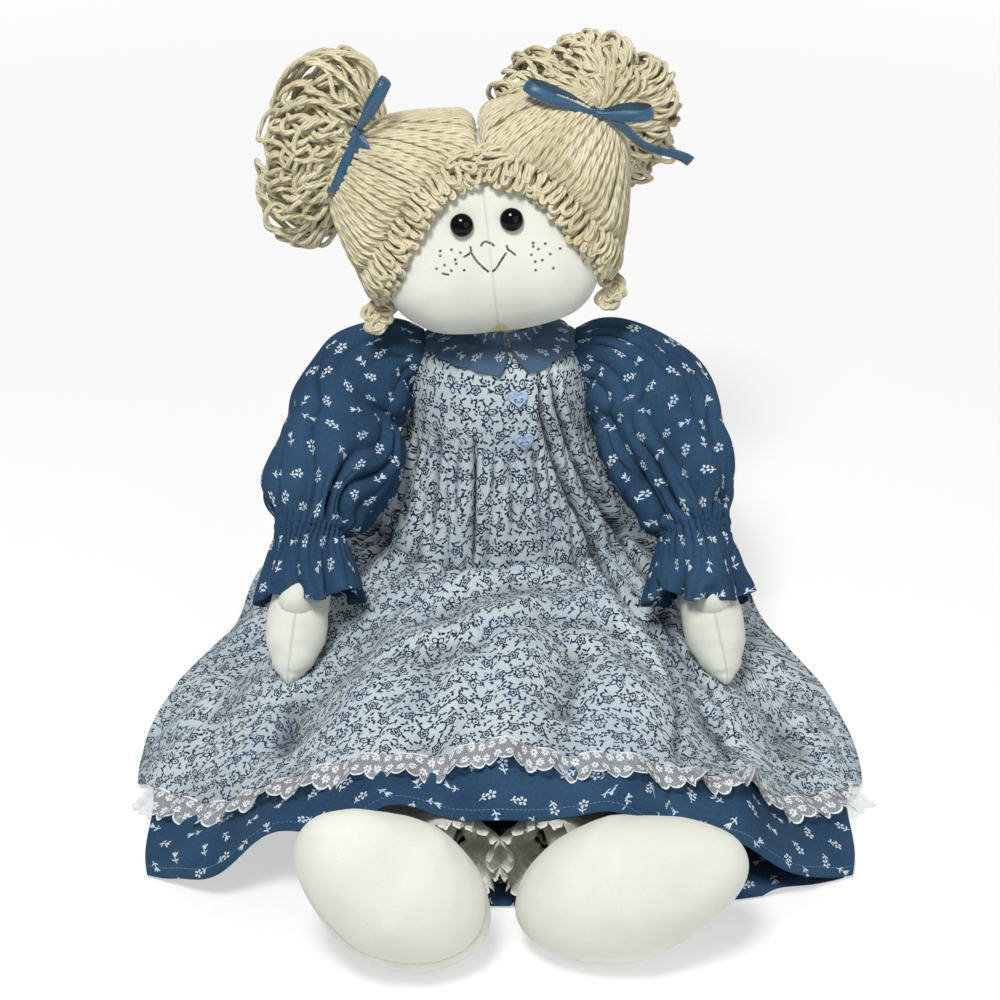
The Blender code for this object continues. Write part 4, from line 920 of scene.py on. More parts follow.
def smock_base():
    """The smock without folds, as rows from neck to hem, and each row's distance below the chest."""
    outline = hem_outline()
    gaps = np.linalg.norm(np.diff(outline[:, :2], axis=0), axis=1)
    by_length = np.concatenate([[0], np.cumsum(gaps)]) / gaps.sum()
    angle = np.unwrap(np.arctan2(outline[:, 1] - TORSO_Y, outline[:, 0]))
    by_turn = (angle - angle[0]) / (angle[-1] - angle[0])
    order = (by_length + by_turn) / 2
    around = np.arange(SMOCK_COLUMNS) / SMOCK_COLUMNS
    ends = np.stack([np.interp(around, order, outline[:, i]) for i in range(3)], 1)
    turn = math.pi / 2 + math.tau * around

    share = np.linspace(SMOCK_TOP_SHARE, SMOCK_DROP_SHARE, BODICE_ROWS)[:, None]
    grow = pinafore_grow(share) - 0.0011
    bodice = torso_at(turn[None], share, grow)
    start = bodice[-1]
    t = (np.linspace(0, 1, 420)[1:] ** 1.6)[:, None]
    x = start[None, :, 0] * (1 - t) + ends[None, :, 0] * t
    y = start[None, :, 1] * (1 - t) + ends[None, :, 1] * t
    out = np.hypot(x - start[None, :, 0], y - start[None, :, 1])
    hang = start[0, 2] - HANG_SLOPE * out
    lap = lap_height(x, y) + fold_lines(x, y, LAP_FOLDS)
    z = (lap + hang + np.sqrt((lap - hang) ** 2 + HANG_ROUNDING ** 2)) / 2
    z = z - 0.0030 * np.exp(-(((lap - hang) / 0.007) ** 2)) * ease(-y, 0.0, 0.02)
    z = np.where(out < 0.0001, start[0, 2], z)
    floor = ease(t, 0.90, 1.0) * (1 - ends[None, :, 2])
    z = z * (1 - floor) + 0.0010 * floor
    side = ease(np.abs(x) / lap_half_width(y), 0.86, 1.0)
    z = z - side * (z - 0.0010) * 0.75
    skirt = np.stack([x, y, z], 2)
    whole = np.concatenate([bodice, skirt])
    length = steps_along(whole, 0)
    below = length - length[BODICE_ROWS - 1][None]
    rows = []
    wanted = np.linspace(0, 1, SMOCK_ROWS)
    for column in range(SMOCK_COLUMNS):
        far = length[:, column] / length[-1, column]
        rows.append(
            [np.interp(wanted, far, whole[:, column, i]) for i in range(3)]
            + [np.interp(wanted, far, below[:, column])]
        )
    rows = np.array(rows).transpose(2, 0, 1)
    return rows[..., :3], rows[..., 3], around, ends[:, 2]


def gather_wave(around, count, drift, sharp):
    """Folds with round tops and narrow valleys, from -1 to 1."""
    phase = math.pi * count * around + drift
    return 2 * np.abs(np.sin(phase)) ** sharp - 1.2


def smock_folds(base, below, around):
    """How far the smock's cloth stands off its base."""
    u = np.broadcast_to(around[None], below.shape)
    front = ease(-base[..., 1], -0.035, -0.005)
    drift = 1.6 * wander(u * 12, below * 14, 11, 12)
    fine = gather_wave(u, 58, drift * 1.4, 0.7)
    middle = gather_wave(u, 26, drift + 0.8, 0.75)
    broad = gather_wave(u, 13, drift * 0.8 + 2.0, 0.9)
    height = fine * 0.0006 * ease(below, -0.014, 0.006) * (1 - ease(below, 0.03, 0.075))
    height = height + fine * 0.0003 * (1 - ease(below, -0.05, -0.03))
    height = height + middle * 0.0013 * ease(below, 0.004, 0.05) * (1 - 0.85 * ease(below, 0.07, 0.12))
    height = height + broad * 0.0014 * ease(below, 0.02, 0.12)
    height = height + 0.0034 * wander(u * 14, below * 22, 5, 14) * ease(below, 0.02, 0.09)
    height = height + 0.0009 * wander(u * 60, below * 60, 6, 60) * ease(below, -0.01, 0.03)
    x = base[..., 0]
    for path, wide, deep in CHEST_FOLDS:
        keys, places = zip(*path)
        middle_x = np.interp(below, keys, places)
        along = ease(below, keys[0], keys[0] + 0.012) * (1 - ease(below, keys[1] - 0.015, keys[1] + 0.012))
        height = height - deep * np.exp(-(((x - middle_x) / wide) ** 2)) * along * front
    for path in PLEATS:
        keys, places = zip(*path)
        away = x - np.interp(below, keys, places)
        lap = ease(away, -0.0012, 0.0004) * np.exp(-np.maximum(away, 0) / 0.007)
        dip = np.exp(-(((away + 0.0018) / 0.0016) ** 2))
        along = ease(below, keys[0], keys[0] + 0.01) * (1 - 0.5 * ease(below, 0.06, 0.18))
        height = height + (0.0048 * lap - 0.0040 * dip) * along * front
    bodice = 1 - ease(below, -0.012, 0.010)
    strip = ease(x, 0.0026, 0.0034) * (1 - ease(x, 0.0196, 0.0204)) * front
    flat = bodice * ease(x, 0.0, 0.0034) * (1 - ease(x, 0.0190, 0.0215)) * front
    height = height * (1 - 0.92 * flat) + 0.0011 * strip * bodice
    return height


def smock():
    """The smock's points, their flat places, the columns that end on the front hem,
    the points of the cloth under it and the way out of it."""
    base, below, around, front = smock_base()
    out = -grid_normals(base, True)
    sign = np.sign(out[SMOCK_ROWS // 5, SMOCK_COLUMNS // 2, 1])
    out = out * -sign
    height = smock_folds(base, below, around)
    down = np.linspace(0, 1, SMOCK_ROWS)[:, None]
    edge = ease(down, 0.84, 0.97) * (front < 0.98)
    height = np.where(height < 0, height * (1 - edge), height)
    points = base + out * height[..., None]
    floor = 0.0036 - 0.0026 * ease(down, 0.965, 0.995)
    points[..., 2] = np.maximum(points[..., 2], floor)
    low = height
    for step in range(1, 6):
        low = np.minimum(low, np.minimum(np.roll(height, step, 1), np.roll(height, -step, 1)))
    for step in (1, 2):
        low[step:] = np.minimum(low[step:], low[:-step])
        low[:-step] = np.minimum(low[:-step], low[step:])
    inner = base + out * (low - 0.0022)[..., None]
    inner[..., 2] = np.clip(inner[..., 2], 0.0016, points[..., 2] - 0.0010)
    cloth = np.zeros((SMOCK_ROWS, SMOCK_COLUMNS + 1, 2))
    looped = np.concatenate([points, points[:, :1]], axis=1)
    across = steps_along(looped, 1)
    cloth[..., 0] = across - across[:, SMOCK_COLUMNS // 2][:, None]
    step = np.diff(looped, axis=0)
    top = np.zeros((1, SMOCK_COLUMNS + 1))
    cloth[..., 1] = np.concatenate([top, np.cumsum(np.hypot(step[..., 1], step[..., 2]), 0)])
    sideways = np.concatenate([top, np.cumsum(np.hypot(step[..., 0], step[..., 2]), 0)])
    u = np.linspace(0, 1, SMOCK_COLUMNS + 1)
    side = (np.abs(u - 0.5) > 0.17) & (np.abs(u - 0.5) < 0.40)
    cloth[:, side, 0] = sideways[:, side]
    cloth[:, side, 1] = looped[:, side, 1] + 2.0
    back = np.abs(u - 0.5) >= 0.40
    cloth[:, back, 0] = looped[:, back, 0] + 4.0
    return points, cloth, front > 0.98, inner, out


def keep_lap_bend(piece):
    """The piece's placing, baked into its points."""
    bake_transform(piece)


def frill(edge, out_of, away, width, rows, pitch, wave, seed):
    """Rows of a gathered strip that goes on from an edge: edge points, their upward and onward directions."""
    along = lengths_along(edge)
    made, cloth = [], []
    for row in range(rows + 1):
        t = row / rows
        sway = np.sin(math.tau * along / pitch + 2.2 * wander(along / (pitch * 3), 0, seed))
        sway = sway + 0.5 * wander(along / (pitch * 2), t * 2, seed + 1)
        point = edge + away * (width * t) + out_of * (sway * wave * (0.35 + 0.65 * t))[:, None]
        point[:, 2] = np.maximum(point[:, 2], 0.0007)
        made.append(point)
        cloth.append(np.stack([along * 1.35, np.full_like(along, width * t)], 1))
    return np.array(made), np.array(cloth)


# Clothes


def make_pinafore(print_cloth, white_lace):
    points, cloth, front, inner, out = smock()
    smock_piece = grid_piece("pinafore", points, cloth, print_cloth, around=True, thick=0.0006)
    shade_valleys(smock_piece, points, True, out, 0.0021)
    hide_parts("pinafore_bodice", "pinafore_skirt_front", "pinafore_skirt_back")
    keep_lap_bend(smock_piece)

    columns = np.where(front)[0]
    edge, before = points[-1, columns], points[-5, columns]
    away = unit(edge - before)
    across = unit(np.gradient(edge, axis=0))
    out_of = unit(np.cross(away, across))
    out_of *= np.sign(out_of[:, 2:3])
    start = edge - away * 0.001 + out_of * 0.0006
    rows, flat = frill(start, out_of, away, HEM_LACE_WIDTH, 14, 0.0230, 0.0032, 21)
    lace = grid_piece("pinafore_lace_edge", rows, flat, white_lace)
    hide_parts("pinafore_lace")
    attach(lace, "lap")
    return points, inner


def low_map(points):
    """The lowest place of a piece near each place under it, on a grid of 2 mm, from above."""
    rows, columns = points.shape[:2]
    r, c = grid_faces(rows, columns, True)
    faces = r * columns + c % columns
    tree = BVHTree.FromPolygons([tuple(p) for p in points.reshape(-1, 3)], [tuple(f) for f in faces])
    xs = np.arange(-0.196, 0.197, 0.002)
    ys = np.arange(-0.240, 0.001, 0.002)
    high = np.full((len(ys), len(xs)), np.inf)
    for i, y in enumerate(ys):
        for j, x in enumerate(xs):
            hit = tree.ray_cast(Vector((x, y, 0.2)), Vector((0, 0, -1)))[0]
            if hit is not None:
                high[i, j] = hit.z
    covered = np.isfinite(high)
    low = high.copy()
    for way in (0, 1):
        low = np.minimum.reduce([np.roll(low, step, way) for step in range(-2, 3)])
    low = np.where(covered, low, np.nan)

    def at(x, y):
        i = int(round((y - ys[0]) / 0.002))
        j = int(round((x - xs[0]) / 0.002))
        return low[i, j] if 0 <= i < len(ys) and 0 <= j < len(xs) else np.nan

    return at


def make_dress(calico, smock_points, inner):
    """The dress under the pinafore: its bodice and waist, and its skirt, which shows below the lace."""
    upper = inner[: SMOCK_ROWS - 6 : 3, ::3]
    dress = grid_piece("dress", upper, closed_cloth(upper, 0.5), calico, around=True)
    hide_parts("dress_bodice", "dress_skirt_back")
    keep_lap_bend(dress)

    low = low_map(smock_points)
    share = np.linspace(-1, 1, 300)
    start = -0.056
    hem = SKIRT_HEM_Y + SKIRT_HEM_DRAW * np.abs(share) ** 4
    t = np.linspace(0, 1, 110)[:, None]
    y = start + (hem[None] - start) * t
    under = 1 - ease(-y, 0.150, 0.200)
    x = share[None] * (lap_half_width(y) - 0.0027 - 0.005 * under)
    own = lap_height(x, y) - 0.0030
    lift = np.zeros_like(x)
    for column in range(x.shape[1]):
        last = (0.0, 0.0)
        for row in range(x.shape[0]):
            found = low(x[row, column], y[row, column])
            if np.isfinite(found):
                last = (found - 0.0022 - own[row, column], y[row, column])
            gone = max(last[1] - y[row, column], 0.0)
            lift[row, column] = last[0] * math.exp(-((gone / 0.03) ** 2))
    for _ in range(2):
        evened = (lift[:, :-2] + lift[:, 1:-1] * 2 + lift[:, 2:]) / 4
        lift[:, 1:-1] = np.minimum(lift[:, 1:-1], evened)
    z = own + lift
    hem_near = ease(-y, 0.198, 0.229)
    z = z + hem_wave(x) * hem_near
    side = ease(np.abs(share), 0.90, 1.0)[None]
    z = z - side * (z - 0.0018) * 0.9
    z = np.maximum(z, 0.0018)
    y = y - 0.004 * hem_near * np.cos(x / 0.011)
    front = np.stack([x, np.maximum(y, SKIRT_HEM_Y - 0.004), z], 2)
    skirt = grid_piece("dress_skirt", front, open_cloth(front), calico, thick=0.0006)
    down = steps_along(front, 0)
    keep_values(skirt, "from_hem", down[-1:] - down)
    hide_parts("dress_skirt_front")
    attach(skirt, "lap")


# Waves of the dress's hem: where each is across, how wide, and how high
HEM_WAVES = (
    (-0.165, 0.016, -0.006), (-0.135, 0.020, -0.006), (-0.100, 0.016, -0.0010), (-0.072, 0.010, -0.003),
    (-0.046, 0.014, 0.0020), (0.000, 0.026, -0.0075), (0.040, 0.014, -0.0030),
    (0.070, 0.016, -0.0020), (0.105, 0.018, -0.0070), (0.130, 0.016, -0.0020), (0.160, 0.014, -0.0055),
)


def hem_wave(x):
    height = 0.0
    for place, wide, high in HEM_WAVES:
        height = height + high * np.exp(-(((x - place) / wide) ** 2))
    return height


def floor_sheet(name, hem_y, draw, level, back_y, material, inset, tuck):
    """The back panel of a skirt, on the floor under the legs, drawn in by tuck on the doll's right."""
    share = np.linspace(-1, 1, 200)
    hem = hem_y + draw * np.abs(share) ** 4 + tuck * (1 - ease(share, -0.62, -0.30))
    t = np.linspace(0, 1, 110)[:, None]
    y = back_y + (hem[None] - back_y) * t
    x = share[None] * (lap_half_width(y) - 0.0012 - inset)
    ripple = np.maximum(wander(x * 42 + 9, y * 12 + 8, 31), 0) * 0.0022
    near = ease(t, 0.7, 1.0)
    wave = np.maximum(wander(x * 75 + 31, y * 20 + 5, 32), 0) * 0.0045 * near * ease(-y, 0.195, 0.21)
    edge = ease(np.abs(share), 0.86, 0.99)[None]
    z = level + (ripple + wave) * (1 - edge)
    points = np.stack([x, y, z], 2)
    return points, grid_piece(name, points, open_cloth(points), material)


def make_floor_sheets(print_cloth, calico, white_lace):
    points, under = floor_sheet(
        "pinafore_back_panel", PINAFORE_HEM_Y, PINAFORE_HEM_DRAW, 0.0003, 0.110, print_cloth, 0.0, 0.060
    )
    keep_lap_bend(under)
    edge = points[-1]
    away = unit(edge - points[-4])
    away[:, 2] = 0
    up = np.zeros_like(edge)
    up[:, 2] = 1
    rows, flat = frill(edge + up * 0.0005, up, away, LACE_WIDTH, 10, 0.0200, 0.0016, 23)
    rows[..., 2] = np.maximum(rows[..., 2], 0.0006)
    lace = grid_piece("back_panel_lace", rows, flat, white_lace)
    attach(lace, "lap")
    _, dress = floor_sheet(
        "dress_back_panel", SKIRT_HEM_Y, SKIRT_HEM_DRAW, 0.0014, 0.100, calico, 0.006, 0.075
    )
    keep_lap_bend(dress)


# Limbs: rings square to a path, as the frame has them

ARM_STATIONS = (
    (0.0465, 0.0380, 0.1530, 0.0100, 0.0100), (0.0560, 0.0380, 0.1520, 0.0108, 0.0108),
    (0.0760, 0.0300, 0.1400, 0.0125, 0.0125), (0.0950, 0.0020, 0.1160, 0.0130, 0.0130),
    (0.1030, -0.0350, 0.0890, 0.0128, 0.0128), (0.1050, -0.0600, 0.0650, 0.0150, 0.0125),
    (0.1080, -0.0760, 0.0480, 0.0168, 0.0130), (0.1100, -0.0870, 0.0380, 0.0135, 0.0105),
    (0.1110, -0.0930, 0.0330, 0.0070, 0.0060),
)
SLEEVE_STATIONS = (
    (0.0390, 0.0385, 0.1545, 0.0140, 0.0140), (0.0590, 0.0370, 0.1505, 0.0235, 0.0220),
    (0.0785, 0.0240, 0.1345, 0.0320, 0.0290), (0.0860, 0.0060, 0.1185, 0.0335, 0.0300),
    (0.0945, -0.0150, 0.1030, 0.0300, 0.0270), (0.0995, -0.0310, 0.0920, 0.0215, 0.0195),
    (0.1008, -0.0370, 0.0870, 0.0180, 0.0175), (0.1010, -0.0430, 0.0810, 0.0205, 0.0190),
    (0.1008, -0.0540, 0.0685, 0.0245, 0.0215), (0.1005, -0.0600, 0.0615, 0.0262, 0.0228),
)
LEG_STATIONS = (
    (0.0300, -0.0060, 0.0240, 0.0150, 0.0025), (0.0303, -0.0240, 0.0250, 0.0172, 0.0070),
    (0.0310, -0.0400, 0.0268, 0.0185, 0.0150), (0.0320, -0.0650, 0.0277, 0.0200, 0.0200),
    (0.0335, -0.1200, 0.0280, 0.0205, 0.0205), (0.0360, -0.1750, 0.0285, 0.0200, 0.0200),
    (0.0400, -0.2150, 0.0320, 0.0175, 0.0175), (0.0420, -0.2380, 0.0330, 0.0190, 0.0190),
)
PANTALOON_STATIONS = (
    (0.0310, -0.0400, 0.0268, 0.0212, 0.0180), (0.0320, -0.0650, 0.0277, 0.0240, 0.0240),
    (0.0335, -0.1200, 0.0282, 0.0245, 0.0245), (0.0360, -0.1750, 0.0285, 0.0240, 0.0240),
    (0.0385, -0.2000, 0.0306, 0.0212, 0.0212),
)
CUFF_STATIONS = (
    (0.0387, -0.2020, 0.0305, 0.0215, 0.0215), (0.0395, -0.2120, 0.0305, 0.0235, 0.0230),
    (0.0400, -0.2330, 0.0305, 0.0265, 0.0250),
)
SIDES = (("left", 1), ("right", -1))
LEFT_ARM_SHIFT = 0.0080
SHOULDER_Z = 0.153


def shifted(stations, side):
    """The left hand lies a little further out than the right."""
    if side < 0:
        return stations
    rows = []
    for x, y, z, wide, deep in stations:
        share = max(SHOULDER_Z - z, 0.0) / (SHOULDER_Z - ARM_STATIONS[-1][2])
        rows.append((x + LEFT_ARM_SHIFT * share ** 2, y, z, wide, deep))
    return rows


def limb(stations, sides, steps, side):
    """Rings of points round the path through these stations, and each ring's middle."""
    rows = [(i, *station) for i, station in enumerate(stations)]
    spots = curve_at(rows, np.arange((len(stations) - 1) * steps + 1) / steps)
    across = Vector((1, 0, 0))
    rings, middles = [], []
    turns = np.linspace(0, math.tau, sides, endpoint=False)
    for i in reversed(range(len(spots))):
        wide, deep = spots[i, 3:]
        before, after = spots[max(i - 1, 0)], spots[min(i + 1, len(spots) - 1)]
        along = Vector(after[:3] - before[:3]).normalized()
        across = (across - along * across.dot(along)).normalized()
        up = across.cross(along)
        ring = spots[i, :3] + np.outer(np.cos(turns) * wide, across) + np.outer(np.sin(turns) * deep, up)
        ring[:, 0] *= side
        middle = spots[i, :3].copy()
        middle[0] *= side
        rings.insert(0, ring)
        middles.insert(0, middle)
    return np.array(rings), np.array(middles)[:, None], turns


def stand_off(rings, middles, height):
    """The rings moved out from their middles by a height."""
    return rings + unit(rings - middles) * height[..., None]


SLEEVE_CUT = 0.235


def make_sleeve(name, side, calico):
    """Puffed and pleated from the shoulder to the elastic, and a wavy ruffle below it."""
    steps, sides = 18, 260
    rings, middles, turns = limb(shifted(SLEEVE_STATIONS, side), sides, steps, side)
    row = np.arange(len(rings))[:, None] / steps
    u = (turns / math.tau)[None]
    seed = 41 if side > 0 else 47
    drift = 2.4 * wander(u * 8, row * 0.7, seed, 8)
    deep = gather_wave(u, 7, drift, 0.75)
    middle = gather_wave(u, 15, drift * 1.4 + 1.0, 0.8)
    fine = gather_wave(u, 38, drift * 1.6, 0.8)
    puff = ease(row, 0.5, 2.2) * (1 - ease(row, 4.6, 5.7))
    height = deep * 0.0036 * puff * (0.45 + 0.55 * ease(row, 2.2, 4.6))
    height = height + middle * 0.0016 * puff * ease(row, 2.6, 5.0)
    height = height + middle * 0.0016 * (1 - ease(row, 1.2, 2.6)) * ease(row, 0.2, 0.8)
    height = height + 0.0060 * wander(u * 5, row * 0.9, seed + 1, 5) * puff
    for place, lean, deep_by in ((0.60, 0.020, 0.0060), (0.73, 0.028, 0.0048), (0.86, 0.016, 0.0040)):
        across = (u - place * side - lean * side * (row - 3.0) + 0.5) % 1 - 0.5
        across = across * side
        crease = np.where(across < 0, np.exp(-((across / 0.013) ** 2)), np.exp(-((across / 0.040) ** 2)))
        height = height - deep_by * crease * ease(row, 1.4, 2.6) * (1 - ease(row, 4.9, 5.9))
    height = height + 0.0016 * wander(u * 13, row * 2.2, seed + 3, 13) * puff
    ruched = np.exp(-(((row - 5.9) / 0.8) ** 2))
    height = height + fine * 0.0011 * ruched + 0.0009 * wander(u * 50, row * 6, seed + 2, 50) * ruched
    ruffle = ease(row, 6.2, 9.0)
    wave = np.sin(math.tau * 7 * u + drift * 1.6)
    height = height + wave * 0.0040 * ruffle + fine * 0.0006 * (1 - ruffle) * ease(row, 6.0, 6.6)
    height = height + np.sin(math.tau * 16 * u + drift * 3) * 0.0014 * ruffle
    points = stand_off(rings, middles, height)
    way = unit(middles[-1:] - middles[-6:-5])
    points = points + way * (ruffle ** 2 * 0.0034 * np.sin(math.tau * 3 * u + drift))[..., None]
    points[..., 2] = np.maximum(points[..., 2], 0.003)
    down = lengths_along(middles[:, 0])
    across = np.linspace(0, 1, sides + 1) * SLEEVE_CUT
    cloth = np.stack(np.broadcast_arrays(across[None], down[:, None] * 1.12), 2)
    sleeve = grid_piece(f"{name}_puffed_sleeve", points, cloth, calico, around=True, thick=0.0006)
    shade_valleys(sleeve, points, True, unit(points - middles), 0.0022)
    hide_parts(f"{name}_sleeve")
    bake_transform(sleeve)


def ball(radius_at, matrix, segments, rings):
    """Rows of points over a form whose radius is known along each ray, and the rays."""
    polar = np.linspace(0.001, math.pi - 0.001, rings + 1)[:, None]
    turn = np.linspace(0, math.tau, segments, endpoint=False)[None]
    rays = sphere_rays(polar, turn)
    local = rays * radius_at(rays)[..., None]
    return placed(local, matrix), local, rays


def joined(name, grids, material, around=True):
    """One piece of several grids, each with its flat places."""
    points, faces, uv, start = [], [], [], 0
    for grid, cloth in grids:
        rows, columns = grid.shape[:2]
        r, c = grid_faces(rows, columns, around)
        faces.append(start + r * columns + c % columns)
        uv.append(cloth[r, c].reshape(-1, 2))
        points.append(grid.reshape(-1, 3))
        start += rows * columns
    return mesh_of(name, np.concatenate(points), np.concatenate(faces), material, np.concatenate(uv))


def make_hand_and_arm(name, side, muslin):
    stations = shifted(ARM_STATIONS, side)
    rings, middles, turns = limb(stations, 64, 8, side)
    row = np.arange(len(rings))[:, None] / 8
    u = (turns / math.tau)[None]
    dents = 0.0007 * wander(u * 6, row * 2.2, 51, 6) + 0.00035 * wander(u * 16, row * 6, 52, 16)
    taper = 0.0030 * ease(row, 5.4, 7.0) * (0.6 + 0.4 * np.cos(turns[None]) ** 2)
    rings = stand_off(rings, middles, dents * ease(row, 0.5, 2.0) - np.minimum(taper, 0.0030))
    tip = np.repeat(rings[-1:].mean(axis=1, keepdims=True), 64, axis=1)
    halfway = tip * 0.5 + rings[-1:] * 0.5 + np.array([0, -0.0012, -0.0016])
    rings = np.concatenate([rings, halfway, tip + np.array([0, -0.0018, -0.0022])])
    from_seam = ((np.arange(65) / 64 + 0.25 + 0.5) % 1 - 0.5)[None] * 0.08
    down = steps_along(np.concatenate([rings, rings[:, :1]], 1), 0)
    arm = (rings, np.stack(np.broadcast_arrays(from_seam, down), 2))
    x, y, z = stations[5][:3]
    spot = Vector((side * x, y, z)) + Vector((side * 0.001, -0.0105, 0.0030))
    turn = Matrix.Translation(spot) @ Matrix.Rotation(math.radians(side * -24), 4, "Y")
    halves = np.array([0.0100, 0.0082, 0.0105])

    def radius(rays):
        narrow = 1 - 0.22 * np.maximum(rays[..., 2], 0)
        total = (rays[..., 0] / halves[0] / narrow) ** 2 + (rays[..., 1] / halves[1]) ** 2
        return 1 / np.sqrt(total + (rays[..., 2] / halves[2]) ** 2)

    points, local, _ = ball(radius, turn, 40, 24)
    seam = np.concatenate([local[..., 0] + 0.004, local[:, :1, 0] + 0.004], 1)
    high = np.concatenate([local[..., 2], local[:, :1, 2]], 1)
    piece = joined(f"{name}_stuffed_arm", [arm, (points, np.stack([seam * 3 + 0.02, high], 2))], muslin)
    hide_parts(f"{name}_arm")
    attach(piece, f"{name}_arm")


FOOT_HALVES = (0.036, 0.030)
FEET = {
    "left": (0.0606, -0.256, 0.056, math.radians(70)),
    "right": (0.0497, -0.262, 0.052, math.radians(48)),
}


# The way that the seamed sole faces, and how far the seam lies from the foot's widest line
SEAM_FACING = Vector((0.175, -0.744, 0.692)).normalized()
SEAM_PLACES = {"left": -0.30, "right": 0.10}


def flattened(points, top):
    """The leg's upper side pressed down under the skirts, which leaves room for it to splay."""
    z = points[..., 2]
    pressed = np.where(z > top, top + (z - top) * 0.2, z)
    share = ease(-points[..., 1], 0.045, 0.085)
    points[..., 2] = z + (pressed - z) * share
    return points


def make_foot_and_leg(name, side, muslin):
    x, y, half_length, fall = FEET[name]
    toe = Vector((side * math.sin(fall), 0, math.cos(fall)))
    sole = Vector((0, -1, 0))
    drop = math.hypot(half_length * math.cos(fall), FOOT_HALVES[0] * math.sin(fall))
    turn = Matrix((toe.cross(sole), sole, toe)).transposed().to_4x4()
    matrix = Matrix.Translation((side * x, y, drop - 0.0005)) @ turn
    facing = np.array(turn.to_3x3().inverted() @ SEAM_FACING)
    seam_place = SEAM_PLACES[name]

    def radius(rays):
        narrow = 1 - 0.16 * np.maximum(rays[..., 2], 0)
        total = (rays[..., 0] / FOOT_HALVES[0] / narrow) ** 2 + (rays[..., 1] / FOOT_HALVES[1] / narrow) ** 2
        seam = np.exp(-(((rays @ facing - seam_place) / 0.03) ** 2))
        dents = wander(rays[..., 0] * 4 + 20, rays[..., 2] * 4 + 20 + rays[..., 1] * 3, 61)
        return 1 / np.sqrt(total + (rays[..., 2] / half_length) ** 2) * (1 + 0.012 * dents - 0.022 * seam)

    points, _, rays = ball(radius, matrix, 96, 64)
    points[..., 2] = np.maximum(points[..., 2], 0.0)
    looped = np.concatenate([rays, rays[:, :1]], 1)
    foot = (points, np.stack([(looped @ facing - seam_place) * 0.03, looped[..., 2] * half_length], 2))
    rings, _, _ = limb(LEG_STATIONS, 48, 5, side)
    rings = flattened(rings, 0.038)
    cloth = closed_cloth(rings)
    cloth[..., 0] += 0.01
    leg = joined(f"{name}_stuffed_leg", [foot, (rings, cloth)], muslin)
    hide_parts(f"{name}_leg")
    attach(leg, f"{name}_leg")


def make_pantaloon(name, side, cotton, white_lace):
    rings, middles, turns = limb(PANTALOON_STATIONS, 120, 12, side)
    row = np.arange(len(rings))[:, None] / 12
    u = (turns / math.tau)[None]
    drift = 1.5 * wander(u * 8, row * 1.3, 71, 8)
    height = gather_wave(u, 22, drift, 0.8) * (0.0004 + 0.0009 * ease(row, 3.2, 4.0))
    height = height + 0.0012 * wander(u * 6, row * 2, 72, 6)
    height = np.minimum(height, 0.0015)
    points = flattened(stand_off(rings, middles, height), 0.0405)
    points[..., 2] = np.maximum(points[..., 2], 0.0035)
    leg = grid_piece(f"{name}_pantaloon_leg", points, closed_cloth(points), cotton, around=True, thick=0.0005)
    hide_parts(f"{name}_pantaloon")
    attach(leg, f"{name}_leg")

    rings, middles, turns = limb(CUFF_STATIONS, 300, 10, side)
    row = np.arange(len(rings))[:, None] / 20
    u = (turns / math.tau)[None]
    drift = 1.2 * wander(u * 9, row * 1.5, 73, 9)
    height = np.sin(math.tau * 24 * u + drift * 6) * 0.0018 * (0.3 + 0.7 * row)
    height = height + 0.0030 * wander(u * 14, row * 3, 75, 14)
    inward = np.maximum(-np.cos(turns), 0)[None] ** 2 * ease(row, 0.1, 0.9)
    inward = inward * (1 + 0.30 * wander(u * 36, row * 2, 74, 36))
    height = height + inward * 0.0170
    points = stand_off(rings, middles, height)
    top = 0.0535 - 0.0105 * ease(side * points[..., 0], 0.026, 0.042)
    points[..., 2] = np.clip(points[..., 2], 0.0035, top)
    cloth = closed_cloth(points)
    cloth[..., 1] = cloth[..., 1] * CUFF_LACE_WIDTH / cloth[-1:, :, 1]
    cuff = grid_piece(f"{name}_lace_cuff", points, cloth, white_lace, around=True)
    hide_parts(f"{name}_pantaloon_lace")
    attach(cuff, f"{name}_leg")


def pinched(ring):
    """A ring of the body drawn together round its middle line."""
    return ring * [0.02, 0.02, 1] + [0, TORSO_Y * 0.98, 0]


def make_body_and_seat(muslin, cotton):
    turn = np.linspace(0, math.tau, 64, endpoint=False)[None]
    share = np.linspace(0.0, 1.0, 60)[:, None]
    points = torso_at(turn, share, 0.0)
    points = np.concatenate([pinched(points[:1]), points, pinched(points[-1:])])
    body = grid_piece("stuffed_body", points, closed_cloth(points), muslin, around=True)
    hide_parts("body")
    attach(body, "torso")

    share = np.linspace(0.0, 0.22, 24)[:, None]
    points = torso_at(turn, share, CLEARANCE + CLOTH)
    points[0, :, 2] -= CLEARANCE + CLOTH
    points = np.concatenate([pinched(points[:1]), points])
    seat = grid_piece("pantaloon_seat_cloth", points, closed_cloth(points), cotton, around=True)
    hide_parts("pantaloon_seat")
    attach(seat, "torso")


# The collar, in two pointed halves

FRONT_X = 0.0085
COLLAR_EDGE = ((0.012, 0.990), (0.056, 0.9345), (0.16, 0.951), (0.30, 0.957), (0.985, 0.953))


